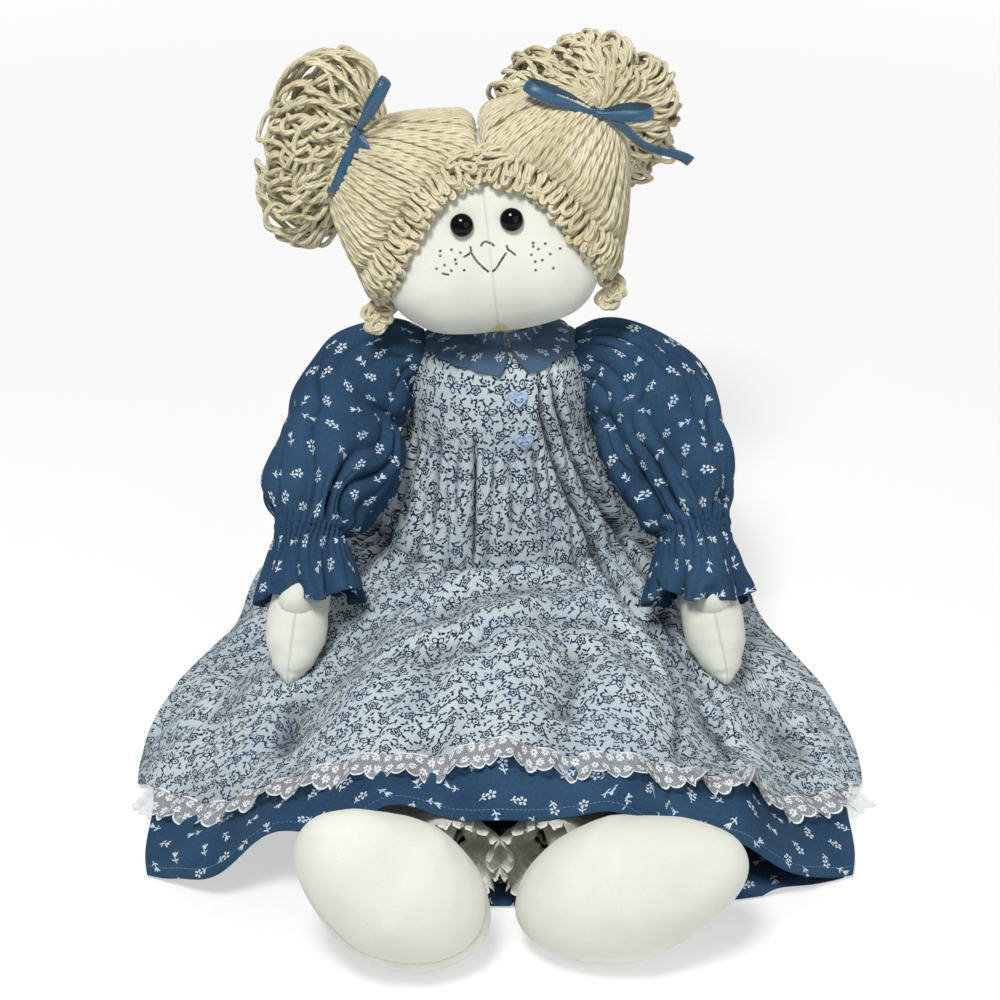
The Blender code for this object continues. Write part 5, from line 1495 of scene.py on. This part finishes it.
def make_collar(name, side, calico):
    front = -math.acos(FRONT_X / TORSO_HALF_WIDTH)
    first, last = COLLAR_EDGE[0][0], COLLAR_EDGE[-1][0]
    away = first + (last - first) * np.linspace(0, 1, 220) ** 1.7
    edge = np.interp(away, *zip(*COLLAR_EDGE))
    rise = np.linspace(0, 1, 30)[:, None]
    share = edge[None] + (1 - edge[None]) * rise
    turn = (front + side * math.pi * away)[None]
    lift = 0.0006 * np.sin(away[None] * 60) * (1 - rise) + 0.0007 * wander(away * 20, rise * 2, 81 + side)
    grow = pinafore_grow(share) + 0.0014 + lift + 0.0012 * (1 - rise) ** 2
    points = torso_at(turn, share, grow)
    stand = np.linspace(0, 1, 9)[1:, None, None]
    top = points[-1:]
    neck = np.stack([0.0178 * np.cos(turn), TORSO_Y + 0.0178 * np.sin(turn), top[..., 2] + 0.0062], 2)
    swing = stand * math.pi / 2
    curve = np.array([1.0, 1.0, 0.0]) * np.sin(swing) + np.array([0, 0, 1.0]) * (1 - np.cos(swing))
    points = np.concatenate([points, top + (neck - top) * curve])
    down = steps_along(points, 0)[:, 60][:, None]
    cloth = np.stack(np.broadcast_arrays(away[None] * 0.150, down), 2)
    collar = grid_piece(f"{name}_pointed_collar", points, cloth, calico, thick=-0.0014)
    rounded = collar.modifiers.new("turned_edge", "BEVEL")
    rounded.width = 0.0005
    rounded.segments = 2
    rounded.limit_method = "ANGLE"
    rounded.angle_limit = math.radians(50)
    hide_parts(f"{name}_collar")
    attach(collar, "torso")


# Head and eyes

HEAD_CENTRE = Vector((-0.006, 0.036, 0.230))
HEAD_HALVES = (0.0595, 0.040, 0.053)
HEAD_TURN = Matrix.Rotation(math.radians(-22), 4, "X") @ Matrix.Rotation(math.radians(-6.3), 4, "Y")
HEAD_MATRIX = Matrix.Translation(HEAD_CENTRE) @ HEAD_TURN
EYE_SPREAD = 0.0127
EYE_HEIGHT = 0.0067
EYE_RADIUS = 0.0060
EYE_DOME = 0.0042


def head_radius(rays):
    up = np.maximum(rays[..., 2], 0.0)
    down = np.maximum(-rays[..., 2], 0.0)
    power = 2.3 + 0.6 * np.minimum(2 * down, 1)
    total = (
        (np.abs(rays[..., 0]) / (HEAD_HALVES[0] * (1 - 0.16 * up))) ** power
        + (np.abs(rays[..., 1]) / HEAD_HALVES[1]) ** power
        + (np.abs(rays[..., 2]) / HEAD_HALVES[2]) ** power
    )
    return total ** (-1 / power)


def on_head(rays, off):
    """Points that stand off the head by a height, along rays from its middle in its own axes."""
    local = rays * (head_radius(rays) + off)[..., None]
    return placed(local, HEAD_MATRIX)


def face_place(x, z):
    """The place of the face, in the head's own axes, at this place across and up."""
    y = -HEAD_HALVES[1] * np.ones_like(np.asarray(x, float))
    for _ in range(30):
        reach = head_radius(unit(np.stack([x + 0 * y, y, z + 0 * y], -1)))
        y = -np.sqrt(np.maximum(reach * reach - x * x - z * z, 0.0))
    return np.stack([x + 0 * y, y, z + 0 * y], -1)


def face_matrix(x, z):
    """Axes on the face, with +Z straight out of it."""
    spot, step = Vector(face_place(x, z)), 0.0016
    out = (Vector(face_place(x + step, z)) - spot).cross(Vector(face_place(x, z + step)) - spot)
    return HEAD_MATRIX @ Matrix.Translation(spot) @ out.to_track_quat("Z", "Y").to_matrix().to_4x4()


def make_head(muslin):
    polar = np.linspace(0.002, math.pi - 0.002, 121)[:, None]
    turn = np.linspace(0, math.tau, 180, endpoint=False)[None] + math.pi / 2
    rays = sphere_rays(polar, turn)
    local = rays * head_radius(rays)[..., None]
    off = np.zeros(local.shape[:2])
    face = ease(-local[..., 1], 0.0, 0.012)
    for side in (-1, 1):
        away = np.hypot(local[..., 0] - side * EYE_SPREAD, local[..., 2] - EYE_HEIGHT)
        off = off - 0.0011 * np.exp(-((away / 0.0085) ** 2)) * face
    off = off - 0.0005 * np.exp(-((local[..., 0] / 0.0013) ** 2)) * face
    off = off + 0.0008 * wander(local[..., 0] * 70 + 20, local[..., 2] * 70 + 20, 91) * face
    points = on_head(rays, off)
    rows, columns = points.shape[:2]
    r, c = grid_faces(rows, columns, True)
    faces = r * columns + c % columns
    flat = local[..., [0, 2]].reshape(-1, 2)[faces]
    flat[local[..., 1].reshape(-1)[faces].mean(axis=1) > 0.004, :, 1] += 1.0
    head = mesh_of("stuffed_head", points.reshape(-1, 3), faces, muslin, flat.reshape(-1, 2), "Face")
    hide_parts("head")
    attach(head, "head")


def make_neck(muslin):
    turn = np.linspace(0, math.tau, 48, endpoint=False)[None]
    z = np.linspace(0.1716, 0.1905, 20)[:, None]
    radius = 0.0163 - 0.0012 * np.sin((z - 0.1716) / 0.0189 * math.pi) + 0.0004 * np.sin(turn * 9)
    points = np.stack(np.broadcast_arrays(radius * np.cos(turn), TORSO_Y + radius * np.sin(turn), z), 2)
    neck = grid_piece("stuffed_neck", points, closed_cloth(points), muslin, around=True)
    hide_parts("neck")
    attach(neck, "neck")


def make_eye(name, side, black):
    matrix = face_matrix(side * EYE_SPREAD, EYE_HEIGHT)
    profile = [(0.0016, -0.011), (0.0016, 0.0), (0.0054, 0.0), (0.0059, 0.0003)]
    for step in range(15):
        angle = math.radians(6 + 84 * step / 14)
        profile.append((EYE_RADIUS * math.cos(angle), 0.0006 + EYE_DOME * math.sin(angle)))
    turn = np.linspace(0, math.tau, 48, endpoint=False)[None]
    r, h = (np.array(column)[:, None] for column in zip(*profile))
    local = np.stack(np.broadcast_arrays(r * np.cos(turn), r * np.sin(turn), h), 2)
    points = placed(local, matrix)
    eye = grid_piece(f"{name}_safety_eye", points[::-1], closed_cloth(points[::-1]), black, around=True)
    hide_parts(f"{name}_eye")
    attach(eye, "head")


# Yarn

YARN_RADIUS = 0.00140
YARN_SIDES = 7
STRANDS_PER_METRE = 90


def resampled(points, spacing):
    """The same line with even steps."""
    points = np.asarray(points, float)
    length = lengths_along(points)
    wanted = np.linspace(0, length[-1], max(int(length[-1] / spacing), 2) + 1)
    return np.stack([np.interp(wanted, length, points[:, i]) for i in range(3)], 1)


def smoothed(points, rounds=2):
    for _ in range(rounds):
        inside = (points[:-2] + 2 * points[1:-1] + points[2:]) / 4
        points = np.concatenate([points[:1], inside, points[-1:]])
    return points


class YarnMesh:
    """Gathers lengths of yarn into one mesh."""

    def __init__(self, radius=YARN_RADIUS, sides=YARN_SIDES):
        self.radius, self.sides = radius, sides
        self.points, self.faces, self.uv, self.count = [], [], [], 0

    def lay(self, line, radius=None, start=0.0):
        line = np.asarray(line, float)
        radius = radius or self.radius
        along = unit(np.gradient(line, axis=0))
        guide = np.array([0.3, 0.2, 0.93])
        out = np.zeros_like(line)
        current = unit(np.cross(along[0], guide))
        for i in range(len(line)):
            current = unit(current - along[i] * np.dot(current, along[i]))
            out[i] = current
        other = np.cross(along, out)
        turns = np.linspace(0, math.tau, self.sides, endpoint=False)
        size = np.full(len(line), radius)
        size[[0, -1]] *= 0.25
        ring = (
            line[:, None]
            + out[:, None] * (np.cos(turns)[None, :, None] * size[:, None, None])
            + other[:, None] * (np.sin(turns)[None, :, None] * size[:, None, None])
        )
        rows = len(line)
        r, c = grid_faces(rows, self.sides, True)
        self.faces.append(self.count + r * self.sides + c % self.sides)
        far = lengths_along(line) + start
        self.uv.append(np.stack([far[r], c / self.sides], 2).reshape(-1, 2))
        self.points.append(ring.reshape(-1, 3))
        self.count += rows * self.sides

    def finish(self, name, material):
        points, faces, uv = (np.concatenate(part) for part in (self.points, self.faces, self.uv))
        return mesh_of(name, points, faces, material, uv, "Yarn")


HAIR_DEPTH = 0.0105
HAIR_GATHER = 0.024
HAIR_GATHER_ANGLE = math.radians(30)
FACE_WIDTHS = (
    (-0.90, 0.97), (-0.60, 0.98), (-0.38, 0.92), (-0.08, 0.72), (0.17, 0.57), (0.42, 0.36), (0.57, 0.04),
)
CAP_WIDTHS = (
    (-0.90, 1.16), (-0.38, 1.06), (-0.08, 0.86), (0.17, 0.71), (0.42, 0.50), (0.57, 0.31), (0.66, 0.15), (0.72, 0.0),
)
TIES = {"left": Vector((0.0502, 0.055, 0.2888)), "right": Vector((-0.0760, 0.055, 0.2613))}
# Centre, half sizes and lean of each pigtail, then its lobes: turn, height, swell, spread
TAILS = {
    "left": (
        Vector((0.0455, 0.084, 0.2735)), (0.050, 0.031, 0.044), 0.0,
        ((0.00, 0.25, 0.12, 0.5), (0.22, 0.85, 0.12, 0.5), (0.50, 0.45, 0.14, 0.5), (0.93, -0.65, 0.16, 0.45)),
    ),
    "right": (
        Vector((-0.0960, 0.066, 0.2620)), (0.031, 0.031, 0.060), math.radians(14),
        ((0.00, 0.90, 0.10, 0.5), (0.50, 0.20, 0.14, 0.6), (0.55, -0.80, 0.10, 0.5)),
    ),
}


def is_hair(ray):
    point = ray * head_radius(ray)
    height = point[2] / HEAD_HALVES[2]
    if point[1] > 0:
        return height > -0.60
    bare = HEAD_HALVES[0] * curve_at(CAP_WIDTHS, height)[0]
    return height > 0.72 or abs(point[0]) > bare


def tie_axes(name):
    ray = (HEAD_MATRIX.inverted() @ TIES[name]).normalized()
    return np.array(ray.to_track_quat("Z", "Y").to_matrix())


def polar_rays(axes, polar, turn):
    return sphere_rays(polar, turn) @ axes.T


def hair_reach(axes, turn, side):
    """How far from the tie the hair reaches at this turn, as an angle."""
    reach, step = 0.0, math.radians(1)
    while reach < math.pi:
        ray = polar_rays(axes, reach + step, turn)
        if side * ray[0] * head_radius(ray) < 0.0006 or not is_hair(ray):
            break
        reach += step
    return reach


def hair_height(polar):
    return HAIR_DEPTH + HAIR_GATHER * np.exp(-((polar / HAIR_GATHER_ANGLE) ** 2))


def make_hair(name, side, yarn):
    """Yarn combed from the parting and the hairline to the tie, in two layers over a felted cap."""
    axes = tie_axes(name)
    turns = np.linspace(0, math.tau, 180, endpoint=False)
    reach = np.array([hair_reach(axes, turn, side) for turn in turns])
    for _ in range(3):
        reach = (np.roll(reach, 1) + reach * 2 + np.roll(reach, -1)) / 4
    cap_rows = np.linspace(0.02, 1, 26)[:, None]
    polar = reach[None] * cap_rows
    off = np.maximum(hair_height(polar) - 0.0036 - 0.0055 * ease(cap_rows, 0.86, 1.0), 0.0004)
    cap = on_head(polar_rays(axes, polar, turns[None]), off)
    flat = closed_cloth(cap)[..., ::-1] * [1, STRANDS_PER_METRE]
    under = grid_piece(f"{name}_hair_cap", cap, flat, yarn, around=True, uv_name="Yarn")
    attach(under, "head")

    chance = random.Random(101 + side)
    strands = YarnMesh()
    for layer, count, lift in ((0, 136, -0.0016), (1, 84, 0.0)):
        for k in range(count):
            turn = math.tau * (k + (0.5 if layer else 0.0) + chance.uniform(-0.32, 0.32)) / count
            far = float(np.interp(turn % math.tau, np.append(turns, math.tau), np.append(reach, reach[0])))
            low = math.radians(3 + 5 * layer)
            if far < low + 0.12:
                continue
            t = np.linspace(0, 1, 40)
            polar = low + (far * chance.uniform(0.985, 1.01) - low) * t
            sway = chance.uniform(-1, 1) * 0.05 * np.sin(math.pi * t) + chance.uniform(-1, 1) * 0.02 * np.sin(7 * t)
            end = ease(t, 0.90, 1.0)
            off = hair_height(polar) - YARN_RADIUS + lift - 0.0062 * end + chance.uniform(-0.0008, 0.0006)
            off = np.maximum(off, 0.0010)
            line = on_head(polar_rays(axes, polar, turn + sway), off)
            strands.lay(smoothed(resampled(line, 0.0030), 1), start=chance.uniform(0, 0.1))
    hair = strands.finish(f"{name}_combed_hair", yarn)
    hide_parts(f"{name}_hair")
    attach(hair, "head")


# Layers of the fringe: number, pitch, height, and how far its bights reach inward and outward
FRINGE_LAYERS = (
    (0, 0.0026, 0.0012, -0.0064, 0.0082),
    (1, 0.0029, 0.0042, -0.0056, 0.0100),
    (2, 0.0040, 0.0066, -0.0026, 0.0112),
)


def make_fringe(name, side, yarn):
    """Bights of yarn side by side along the hairline, in three layers, with a tuft at the jaw."""
    height = np.linspace(0.80, -0.78, 70)
    x = np.maximum(HEAD_HALVES[0] * curve_at(FACE_WIDTHS, height)[:, 0], 0.0048)
    local = face_place(side * x, height * HEAD_HALVES[2])
    local = resampled(local, 0.0005)
    length = lengths_along(local)
    along = unit(np.gradient(local, axis=0))
    out = unit(local)
    across = unit(np.cross(along, out))
    across *= np.sign(across[:, :1]) * side
    chance = random.Random(131 + side)
    trim = YarnMesh()

    def at(far, wide, high):
        far = np.clip(far, 0, length[-1])
        return [
            np.interp(far, length, local[:, i])
            + np.interp(far, length, across[:, i]) * wide
            + np.interp(far, length, out[:, i]) * high
            for i in range(3)
        ]

    for layer, pitch, lift, inner, outer in FRINGE_LAYERS:
        points = []
        far = 0.0010 * layer
        edge = 1
        while far < length[-1] + 0.001:
            start, end = (inner, outer) if edge > 0 else (outer, inner)
            end += chance.uniform(-0.0020, 0.0020)
            slip = chance.uniform(-0.0014, 0.0014)
            for t in (0.1, 0.35, 0.65, 0.9):
                wide = start + (end - start) * t
                arch = math.sin(math.pi * t)
                points.append(at(far + slip * arch + chance.uniform(-0.0005, 0.0005), wide, lift + 0.0024 * arch))
            points.append(at(far + pitch * 0.5, end + 0.0010 * edge, lift + chance.uniform(-0.0006, 0.0012)))
            far += pitch * chance.uniform(0.75, 1.25)
            edge = -edge
        line = placed(np.array(points), HEAD_MATRIX)
        trim.lay(smoothed(resampled(line, 0.0012), 2))
    for _ in range(16):
        place = length[-1] - chance.uniform(0.000, 0.012)
        jaw = np.array(at(place, chance.uniform(-0.004, 0.008), 0.0035))
        lean = math.radians(chance.uniform(-70, 80))
        reach = chance.uniform(0.005, 0.009)
        way = np.array([side * math.sin(lean), -0.25, -math.cos(lean) * 0.8])
        beside = unit(np.cross(way, [0, -1, 0])) * chance.uniform(0.0018, 0.0028)
        lift = np.array([0, -0.002 - 0.003 * chance.random(), 0])
        points = [
            jaw - way * 0.002 - beside,
            jaw + way * reach * 0.5 - beside * 1.3 + lift,
            jaw + way * reach - beside + lift,
            jaw + way * (reach + 0.0018) + lift,
            jaw + way * reach + beside + lift,
            jaw + way * reach * 0.5 + beside * 1.3 + lift,
            jaw - way * 0.002 + beside,
        ]
        line = placed(np.array(points), HEAD_MATRIX)
        trim.lay(smoothed(resampled(line, 0.0014), 2), start=chance.uniform(0, 0.1))
    fringe = trim.finish(f"{name}_looped_fringe", yarn)
    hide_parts(f"{name}_fringe")
    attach(fringe, "head")


def tail_radius(halves, lobes):
    def radius(rays):
        base = 1 / np.sqrt(sum((rays[..., i] / halves[i]) ** 2 for i in range(3)))
        swell = np.ones(rays.shape[:-1])
        for turn, height, lift, spread in lobes:
            flat = math.sqrt(1 - height * height)
            middle = unit(np.array([flat * math.cos(math.tau * turn), 0, height]))
            away = np.arccos(np.clip(rays @ middle, -1, 1))
            swell = swell + lift * np.exp(-((away / spread) ** 2))
        return base * swell

    return radius


def slerped(first, second, t):
    angle = math.acos(max(min(float(first @ second), 1), -1))
    if angle < 1e-4:
        return np.repeat(first[None], len(t), 0)
    return (np.sin((1 - t) * angle)[:, None] * first + np.sin(t * angle)[:, None] * second) / math.sin(angle)


def make_pigtail(name, side, yarn):
    """Long bights of yarn that spring from the tie, fall over each other and turn back."""
    centre, halves, lean, lobes = TAILS[name]
    shape = tail_radius(halves, lobes)
    matrix = Matrix.Translation(centre) @ Matrix.Rotation(lean, 4, "Y")
    core, _, _ = ball(lambda rays: shape(rays) * 0.70, matrix, 48, 32)
    cloth = closed_cloth(core)[..., ::-1] * [1, STRANDS_PER_METRE]
    inside = grid_piece(f"{name}_pigtail_core", core, cloth, yarn, around=True, uv_name="Yarn")
    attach(inside, "head")

    tie = np.array(matrix.inverted() @ TIES[name])
    root = unit(tie)
    chance = random.Random(151 + side)
    tail = YarnMesh()
    golden = math.pi * (3 - math.sqrt(5))
    for shell, count in ((0.78, 52), (0.93, 92)):
        for k in range(count):
            high = 1 - 2 * (k + 0.5) / count
            spin = golden * k + shell * 5
            flat = math.sqrt(1 - high * high)
            ray = np.array([flat * math.cos(spin), flat * math.sin(spin), high])
            if ray @ root > 0.90:
                continue
            ray = unit(ray + np.array([chance.uniform(-0.12, 0.12) for _ in range(3)]))
            beside = unit(np.cross(root, ray))
            half = chance.uniform(0.0024, 0.0060) / float(shape(ray))
            curl, spring = chance.uniform(0.0020, 0.0040), chance.uniform(2.2, 4.2)
            lines = []
            for way in (-1, 1):
                goal = unit(ray + beside * half * way)
                t = np.linspace(0, 1, 40)
                rays = slerped(root, goal, t)
                rays = unit(rays + beside * (half * way * 1.6 * np.sin(math.pi * t))[:, None])
                bulge = shell + chance.uniform(-0.09, 0.05) + 0.04 * np.sin(t * chance.uniform(4, 8))
                surface = rays * (shape(rays) * bulge - YARN_RADIUS)[:, None]
                phase = math.tau * spring * t + chance.uniform(0, math.tau)
                surface = surface + beside * (curl * np.sin(phase))[:, None]
                surface = surface + rays * (curl * 0.7 * np.cos(phase))[:, None]
                leave = ease(t, 0.0, 0.34)[:, None]
                lines.append(tie * (1 - leave) + surface * leave)
            far = unit(lines[0][-1] - lines[0][-3]) * 0.0030
            bend = (lines[0][-1] + lines[1][-1]) / 2 + far
            line = np.concatenate([lines[0], [bend], lines[1][::-1]])
            line = placed(line, matrix)
            tail.lay(smoothed(resampled(line, 0.0022), 2), start=chance.uniform(0, 0.1))
    pigtail = tail.finish(f"{name}_looped_pigtail", yarn)
    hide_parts(f"{name}_pigtail")
    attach(pigtail, "head")


# Ribbons

RIBBON_WIDTH = 0.00635
KNOTS = {"left": Vector((0.0494, 0.0362, 0.2955)), "right": Vector((-0.0732, 0.0362, 0.2851))}
BOW_LOOPS = {
    "left": (Vector((-0.036, 0.002, 0.0150)), Vector((0.028, 0.000, 0.0010))),
    "right": (Vector((0.0160, -0.002, 0.0290)), Vector((-0.0135, -0.004, -0.0316))),
}
BOW_ENDS = {
    "left": (Vector((0.048, -0.004, -0.0255)), Vector((0.014, 0.020, -0.0120))),
    "right": (Vector((0.0137, -0.010, -0.0330)), Vector((0.0010, -0.006, -0.0500))),
}


def ribbon_strip(line, across, twist=0.0, pinch=None):
    """A strip of ribbon along a line, as a grid with its flat places."""
    along = unit(np.gradient(line, axis=0))
    wide = unit(across - along * np.sum(along * across, 1, keepdims=True))
    normal = np.cross(along, wide)
    t = np.linspace(0, 1, len(line))
    angle = twist * np.sin(math.pi * t)
    wide = wide * np.cos(angle)[:, None] + normal * np.sin(angle)[:, None]
    normal = np.cross(along, wide)
    v = np.linspace(-1, 1, 9)
    size = np.ones(len(line)) if pinch is None else pinch
    cup = 0.0006 * (1 - v[None] ** 2)
    points = line[:, None] + wide[:, None] * (v[None, :, None] * (size * RIBBON_WIDTH / 2)[:, None, None])
    points = points + normal[:, None] * cup[..., None]
    far = lengths_along(line)
    cloth = np.stack(np.broadcast_arrays(far[:, None], v[None]), 2)
    return points, cloth


def make_bow(name, satin):
    knot = KNOTS[name]
    strips = []
    for i, reach in enumerate(BOW_LOOPS[name]):
        out = reach.normalized()
        bulge = (Vector((0, -1, 0)) + out * out.y).normalized()
        t = np.linspace(0, 1, 49)
        line = (
            np.array(knot)
            + np.outer(np.sin(math.pi * t), reach)
            + np.outer(0.0056 * np.sin(math.tau * t) + 0.0006 * (1 - 2 * t), bulge)
        )
        across = np.array(reach.cross(Vector((0, 1, 0))).normalized())
        pinch = 0.45 + 0.55 * ease(np.sin(math.pi * t), 0.05, 0.5)
        strips.append(ribbon_strip(line, across, 0.25 * (-1) ** i, pinch))
    for i, reach in enumerate(BOW_ENDS[name]):
        t = np.linspace(0, 1, 33)
        line = np.array(knot) + np.outer(t, reach) + np.outer(0.0040 * np.sin(math.pi * t), (0, -1, 0))
        line = line + np.outer(0.0016 * np.sin(math.tau * 1.4 * t), reach.cross(Vector((0, 1, 0))).normalized())
        across = np.array(reach.cross(Vector((0, 1, 0))).normalized())
        pinch = 0.5 + 0.5 * ease(t, 0.0, 0.25)
        strips.append(ribbon_strip(line, across, 0.5 * (-1) ** i, pinch))
    side_reach = BOW_LOOPS[name][0].normalized()
    t = np.linspace(0, math.tau, 33)
    up = side_reach.cross(Vector((0, 1, 0))).normalized()
    line = np.array(knot) + np.outer(0.0034 * np.cos(t), up) + np.outer(0.0032 * np.sin(t), (0, 1, 0))
    strips.append(ribbon_strip(line, np.array(side_reach), 0.0, np.full(len(t), 0.85)))
    bow = joined(f"{name}_ribbon_bow", strips, satin, around=False)
    wall = bow.modifiers.new("thickness", "SOLIDIFY")
    wall.thickness = 0.00025
    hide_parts(f"{name}_ribbon")
    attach(bow, "head")


# Buttons

BUTTON_WIDTH = 0.0110
BUTTON_THICKNESS = 0.0022
BUTTONS = (("upper", 0.1484, 0.0100), ("lower", 0.1242, 0.0125))


def button_matrix(height, shift):
    def at(turn, share):
        return Vector(torso_at(np.array(turn), np.array(share), pinafore_grow(np.array(share)) + CLEARANCE))

    share = (height - SEAT_Z) / TORSO_HEIGHT
    turn = -math.acos(shift / TORSO_HALF_WIDTH)
    spot = at(turn, share)
    above = at(turn, share + BUTTON_WIDTH / TORSO_HEIGHT)
    beside = at(turn + BUTTON_WIDTH / TORSO_HALF_WIDTH, share)
    up, across = (above - spot).normalized(), (beside - spot).normalized()
    out = across.cross(up).normalized()
    up = out.cross(across).normalized()
    return Matrix.Translation(spot) @ Matrix((across, up, out)).transposed().to_4x4()


def make_button(name, place, shift, plastic):
    """A heart with a raised, rounded rim and a dished middle."""
    matrix = button_matrix(place, shift)
    t = math.pi + np.linspace(0, math.tau, 96, endpoint=False)
    x = 16 * np.sin(t) ** 3 / 32
    y = (13 * np.cos(t) - 5 * np.cos(2 * t) - 2 * np.cos(3 * t) - np.cos(4 * t) + 2.5) / 32
    outline = np.stack([x, y], 1) * BUTTON_WIDTH
    rings = ((0.05, 0.0), (0.93, 0.0), (0.985, 0.08), (1.0, 0.28), (1.0, 0.62), (0.975, 0.86), (0.92, 0.98),
             (0.85, 1.0), (0.78, 0.93), (0.72, 0.84), (0.60, 0.80), (0.40, 0.79), (0.20, 0.79), (0.04, 0.79))
    scale, rise = (np.array(column) for column in zip(*rings))
    flat = outline[None] * scale[:, None, None]
    height = np.broadcast_to((rise * BUTTON_THICKNESS)[:, None, None], flat.shape[:2] + (1,))
    local = np.concatenate([flat, height], 2)
    points = placed(local, matrix)
    cloth = np.concatenate([flat, flat[:, :1]], 1)
    button = grid_piece(f"{name}_heart_button", points, cloth, plastic, around=True)
    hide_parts(f"{name}_button")
    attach(button, "torso")


AMBIENT = 0.21


def make_stage():
    look = Look("white_floor")
    look.set(Base_Color=rgb(250, 250, 250), Roughness=0.9, Specular_IOR_Level=0.1)
    path = look.tree.nodes.new("ShaderNodeLightPath")
    glow = look.tree.nodes.new("ShaderNodeEmission")
    glow.inputs["Color"].default_value = (1, 1, 1, 1)
    glow.inputs["Strength"].default_value = 1.0
    blend = look.tree.nodes.new("ShaderNodeMixShader")
    across, up, _ = look.apart(look.spot())
    far = (across * across + up * up).math("SQRT").step(0.35, 1.3)
    seen = Value(look, path.outputs["Is Camera Ray"]) * (far * 0.45 + 0.55)
    look.feed(blend.inputs[0], seen)
    look.tree.links.new(look.shader.outputs[0], blend.inputs[1])
    look.tree.links.new(glow.outputs[0], blend.inputs[2])
    look.tree.links.new(blend.outputs[0], look.tree.nodes["Material Output"].inputs["Surface"])
    mesh = bpy.data.meshes.new("floor")
    size = 6.0
    corners = [(x * size, y * size, -0.0002) for x, y in ((-1, -1), (1, -1), (1, 1), (-1, 1))]
    mesh.from_pydata(corners, [], [(0, 1, 2, 3)])
    mesh.materials.append(look.material)
    floor = bpy.data.objects.new("floor", mesh)
    scene.collection.objects.link(floor)

    world = bpy.data.worlds.new("studio")
    scene.world = world
    world.use_nodes = True
    world.node_tree.nodes["Background"].inputs["Color"].default_value = (1, 1, 1, 1)
    path = world.node_tree.nodes.new("ShaderNodeLightPath")
    seen = world.node_tree.nodes.new("ShaderNodeMath")
    seen.operation = "MULTIPLY_ADD"
    seen.inputs[1].default_value = 1 - AMBIENT
    seen.inputs[2].default_value = AMBIENT
    world.node_tree.links.new(path.outputs["Is Camera Ray"], seen.inputs[0])
    world.node_tree.links.new(seen.outputs[0], world.node_tree.nodes["Background"].inputs["Strength"])
    softbox("key_light", (-0.30, -0.80, 1.75), (0.45, 0.45), 29)
    softbox("fill_light", (0.9, -1.2, 0.9), (1.2, 1.2), 5)
    softbox("back_light", (0.2, 1.2, 1.3), (1.2, 0.8), 6)


def give(material, *nodes):
    for node in nodes:
        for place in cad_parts[node].material_slots:
            place.material = material


def main():
    calico, collar, print_cloth, cotton = blue_calico(), painted_light_collar_calico(), white_print(), white_cotton()
    hem_lace = gathered_lace("gathered_lace", HEM_LACE_WIDTH, 0.0085, rgb(226, 231, 232), 0.14)
    cuff_lace = gathered_lace("cuff_lace", CUFF_LACE_WIDTH, 0.0080, rgb(228, 228, 216), 0.62)
    muslin, seamed, face = plain_muslin(), seamed_muslin(), face_muslin()
    yarn, satin, black, pearly = plied_yarn(), blue_satin(), black_eye(), pearly_button()
    nylon, thread = white_nylon(), cotton_thread()

    place_camera()
    make_stage()
    make_body_and_seat(muslin, cotton)
    points, inner = make_pinafore(print_cloth, hem_lace)
    make_dress(calico, points, inner)
    make_floor_sheets(print_cloth, calico, hem_lace)
    for name, side in SIDES:
        make_hand_and_arm(name, side, seamed)
        make_sleeve(name, side, calico)
        make_foot_and_leg(name, side, seamed)
        make_pantaloon(name, side, cotton, cuff_lace)
        make_collar(name, side, collar)
        make_eye(name, side, black)
        make_hair(name, side, yarn)
        make_fringe(name, side, yarn)
        make_pigtail(name, side, yarn)
        make_bow(name, satin)
    make_head(face)
    make_neck(muslin)
    for name, height, shift in BUTTONS:
        make_button(name, height, shift, pearly)
    give(nylon, "left_eye_washer", "right_eye_washer")
    give(pearly, "upper_button_thread", "lower_button_thread")
    give(thread, "left_sleeve_elastic", "right_sleeve_elastic")


main()
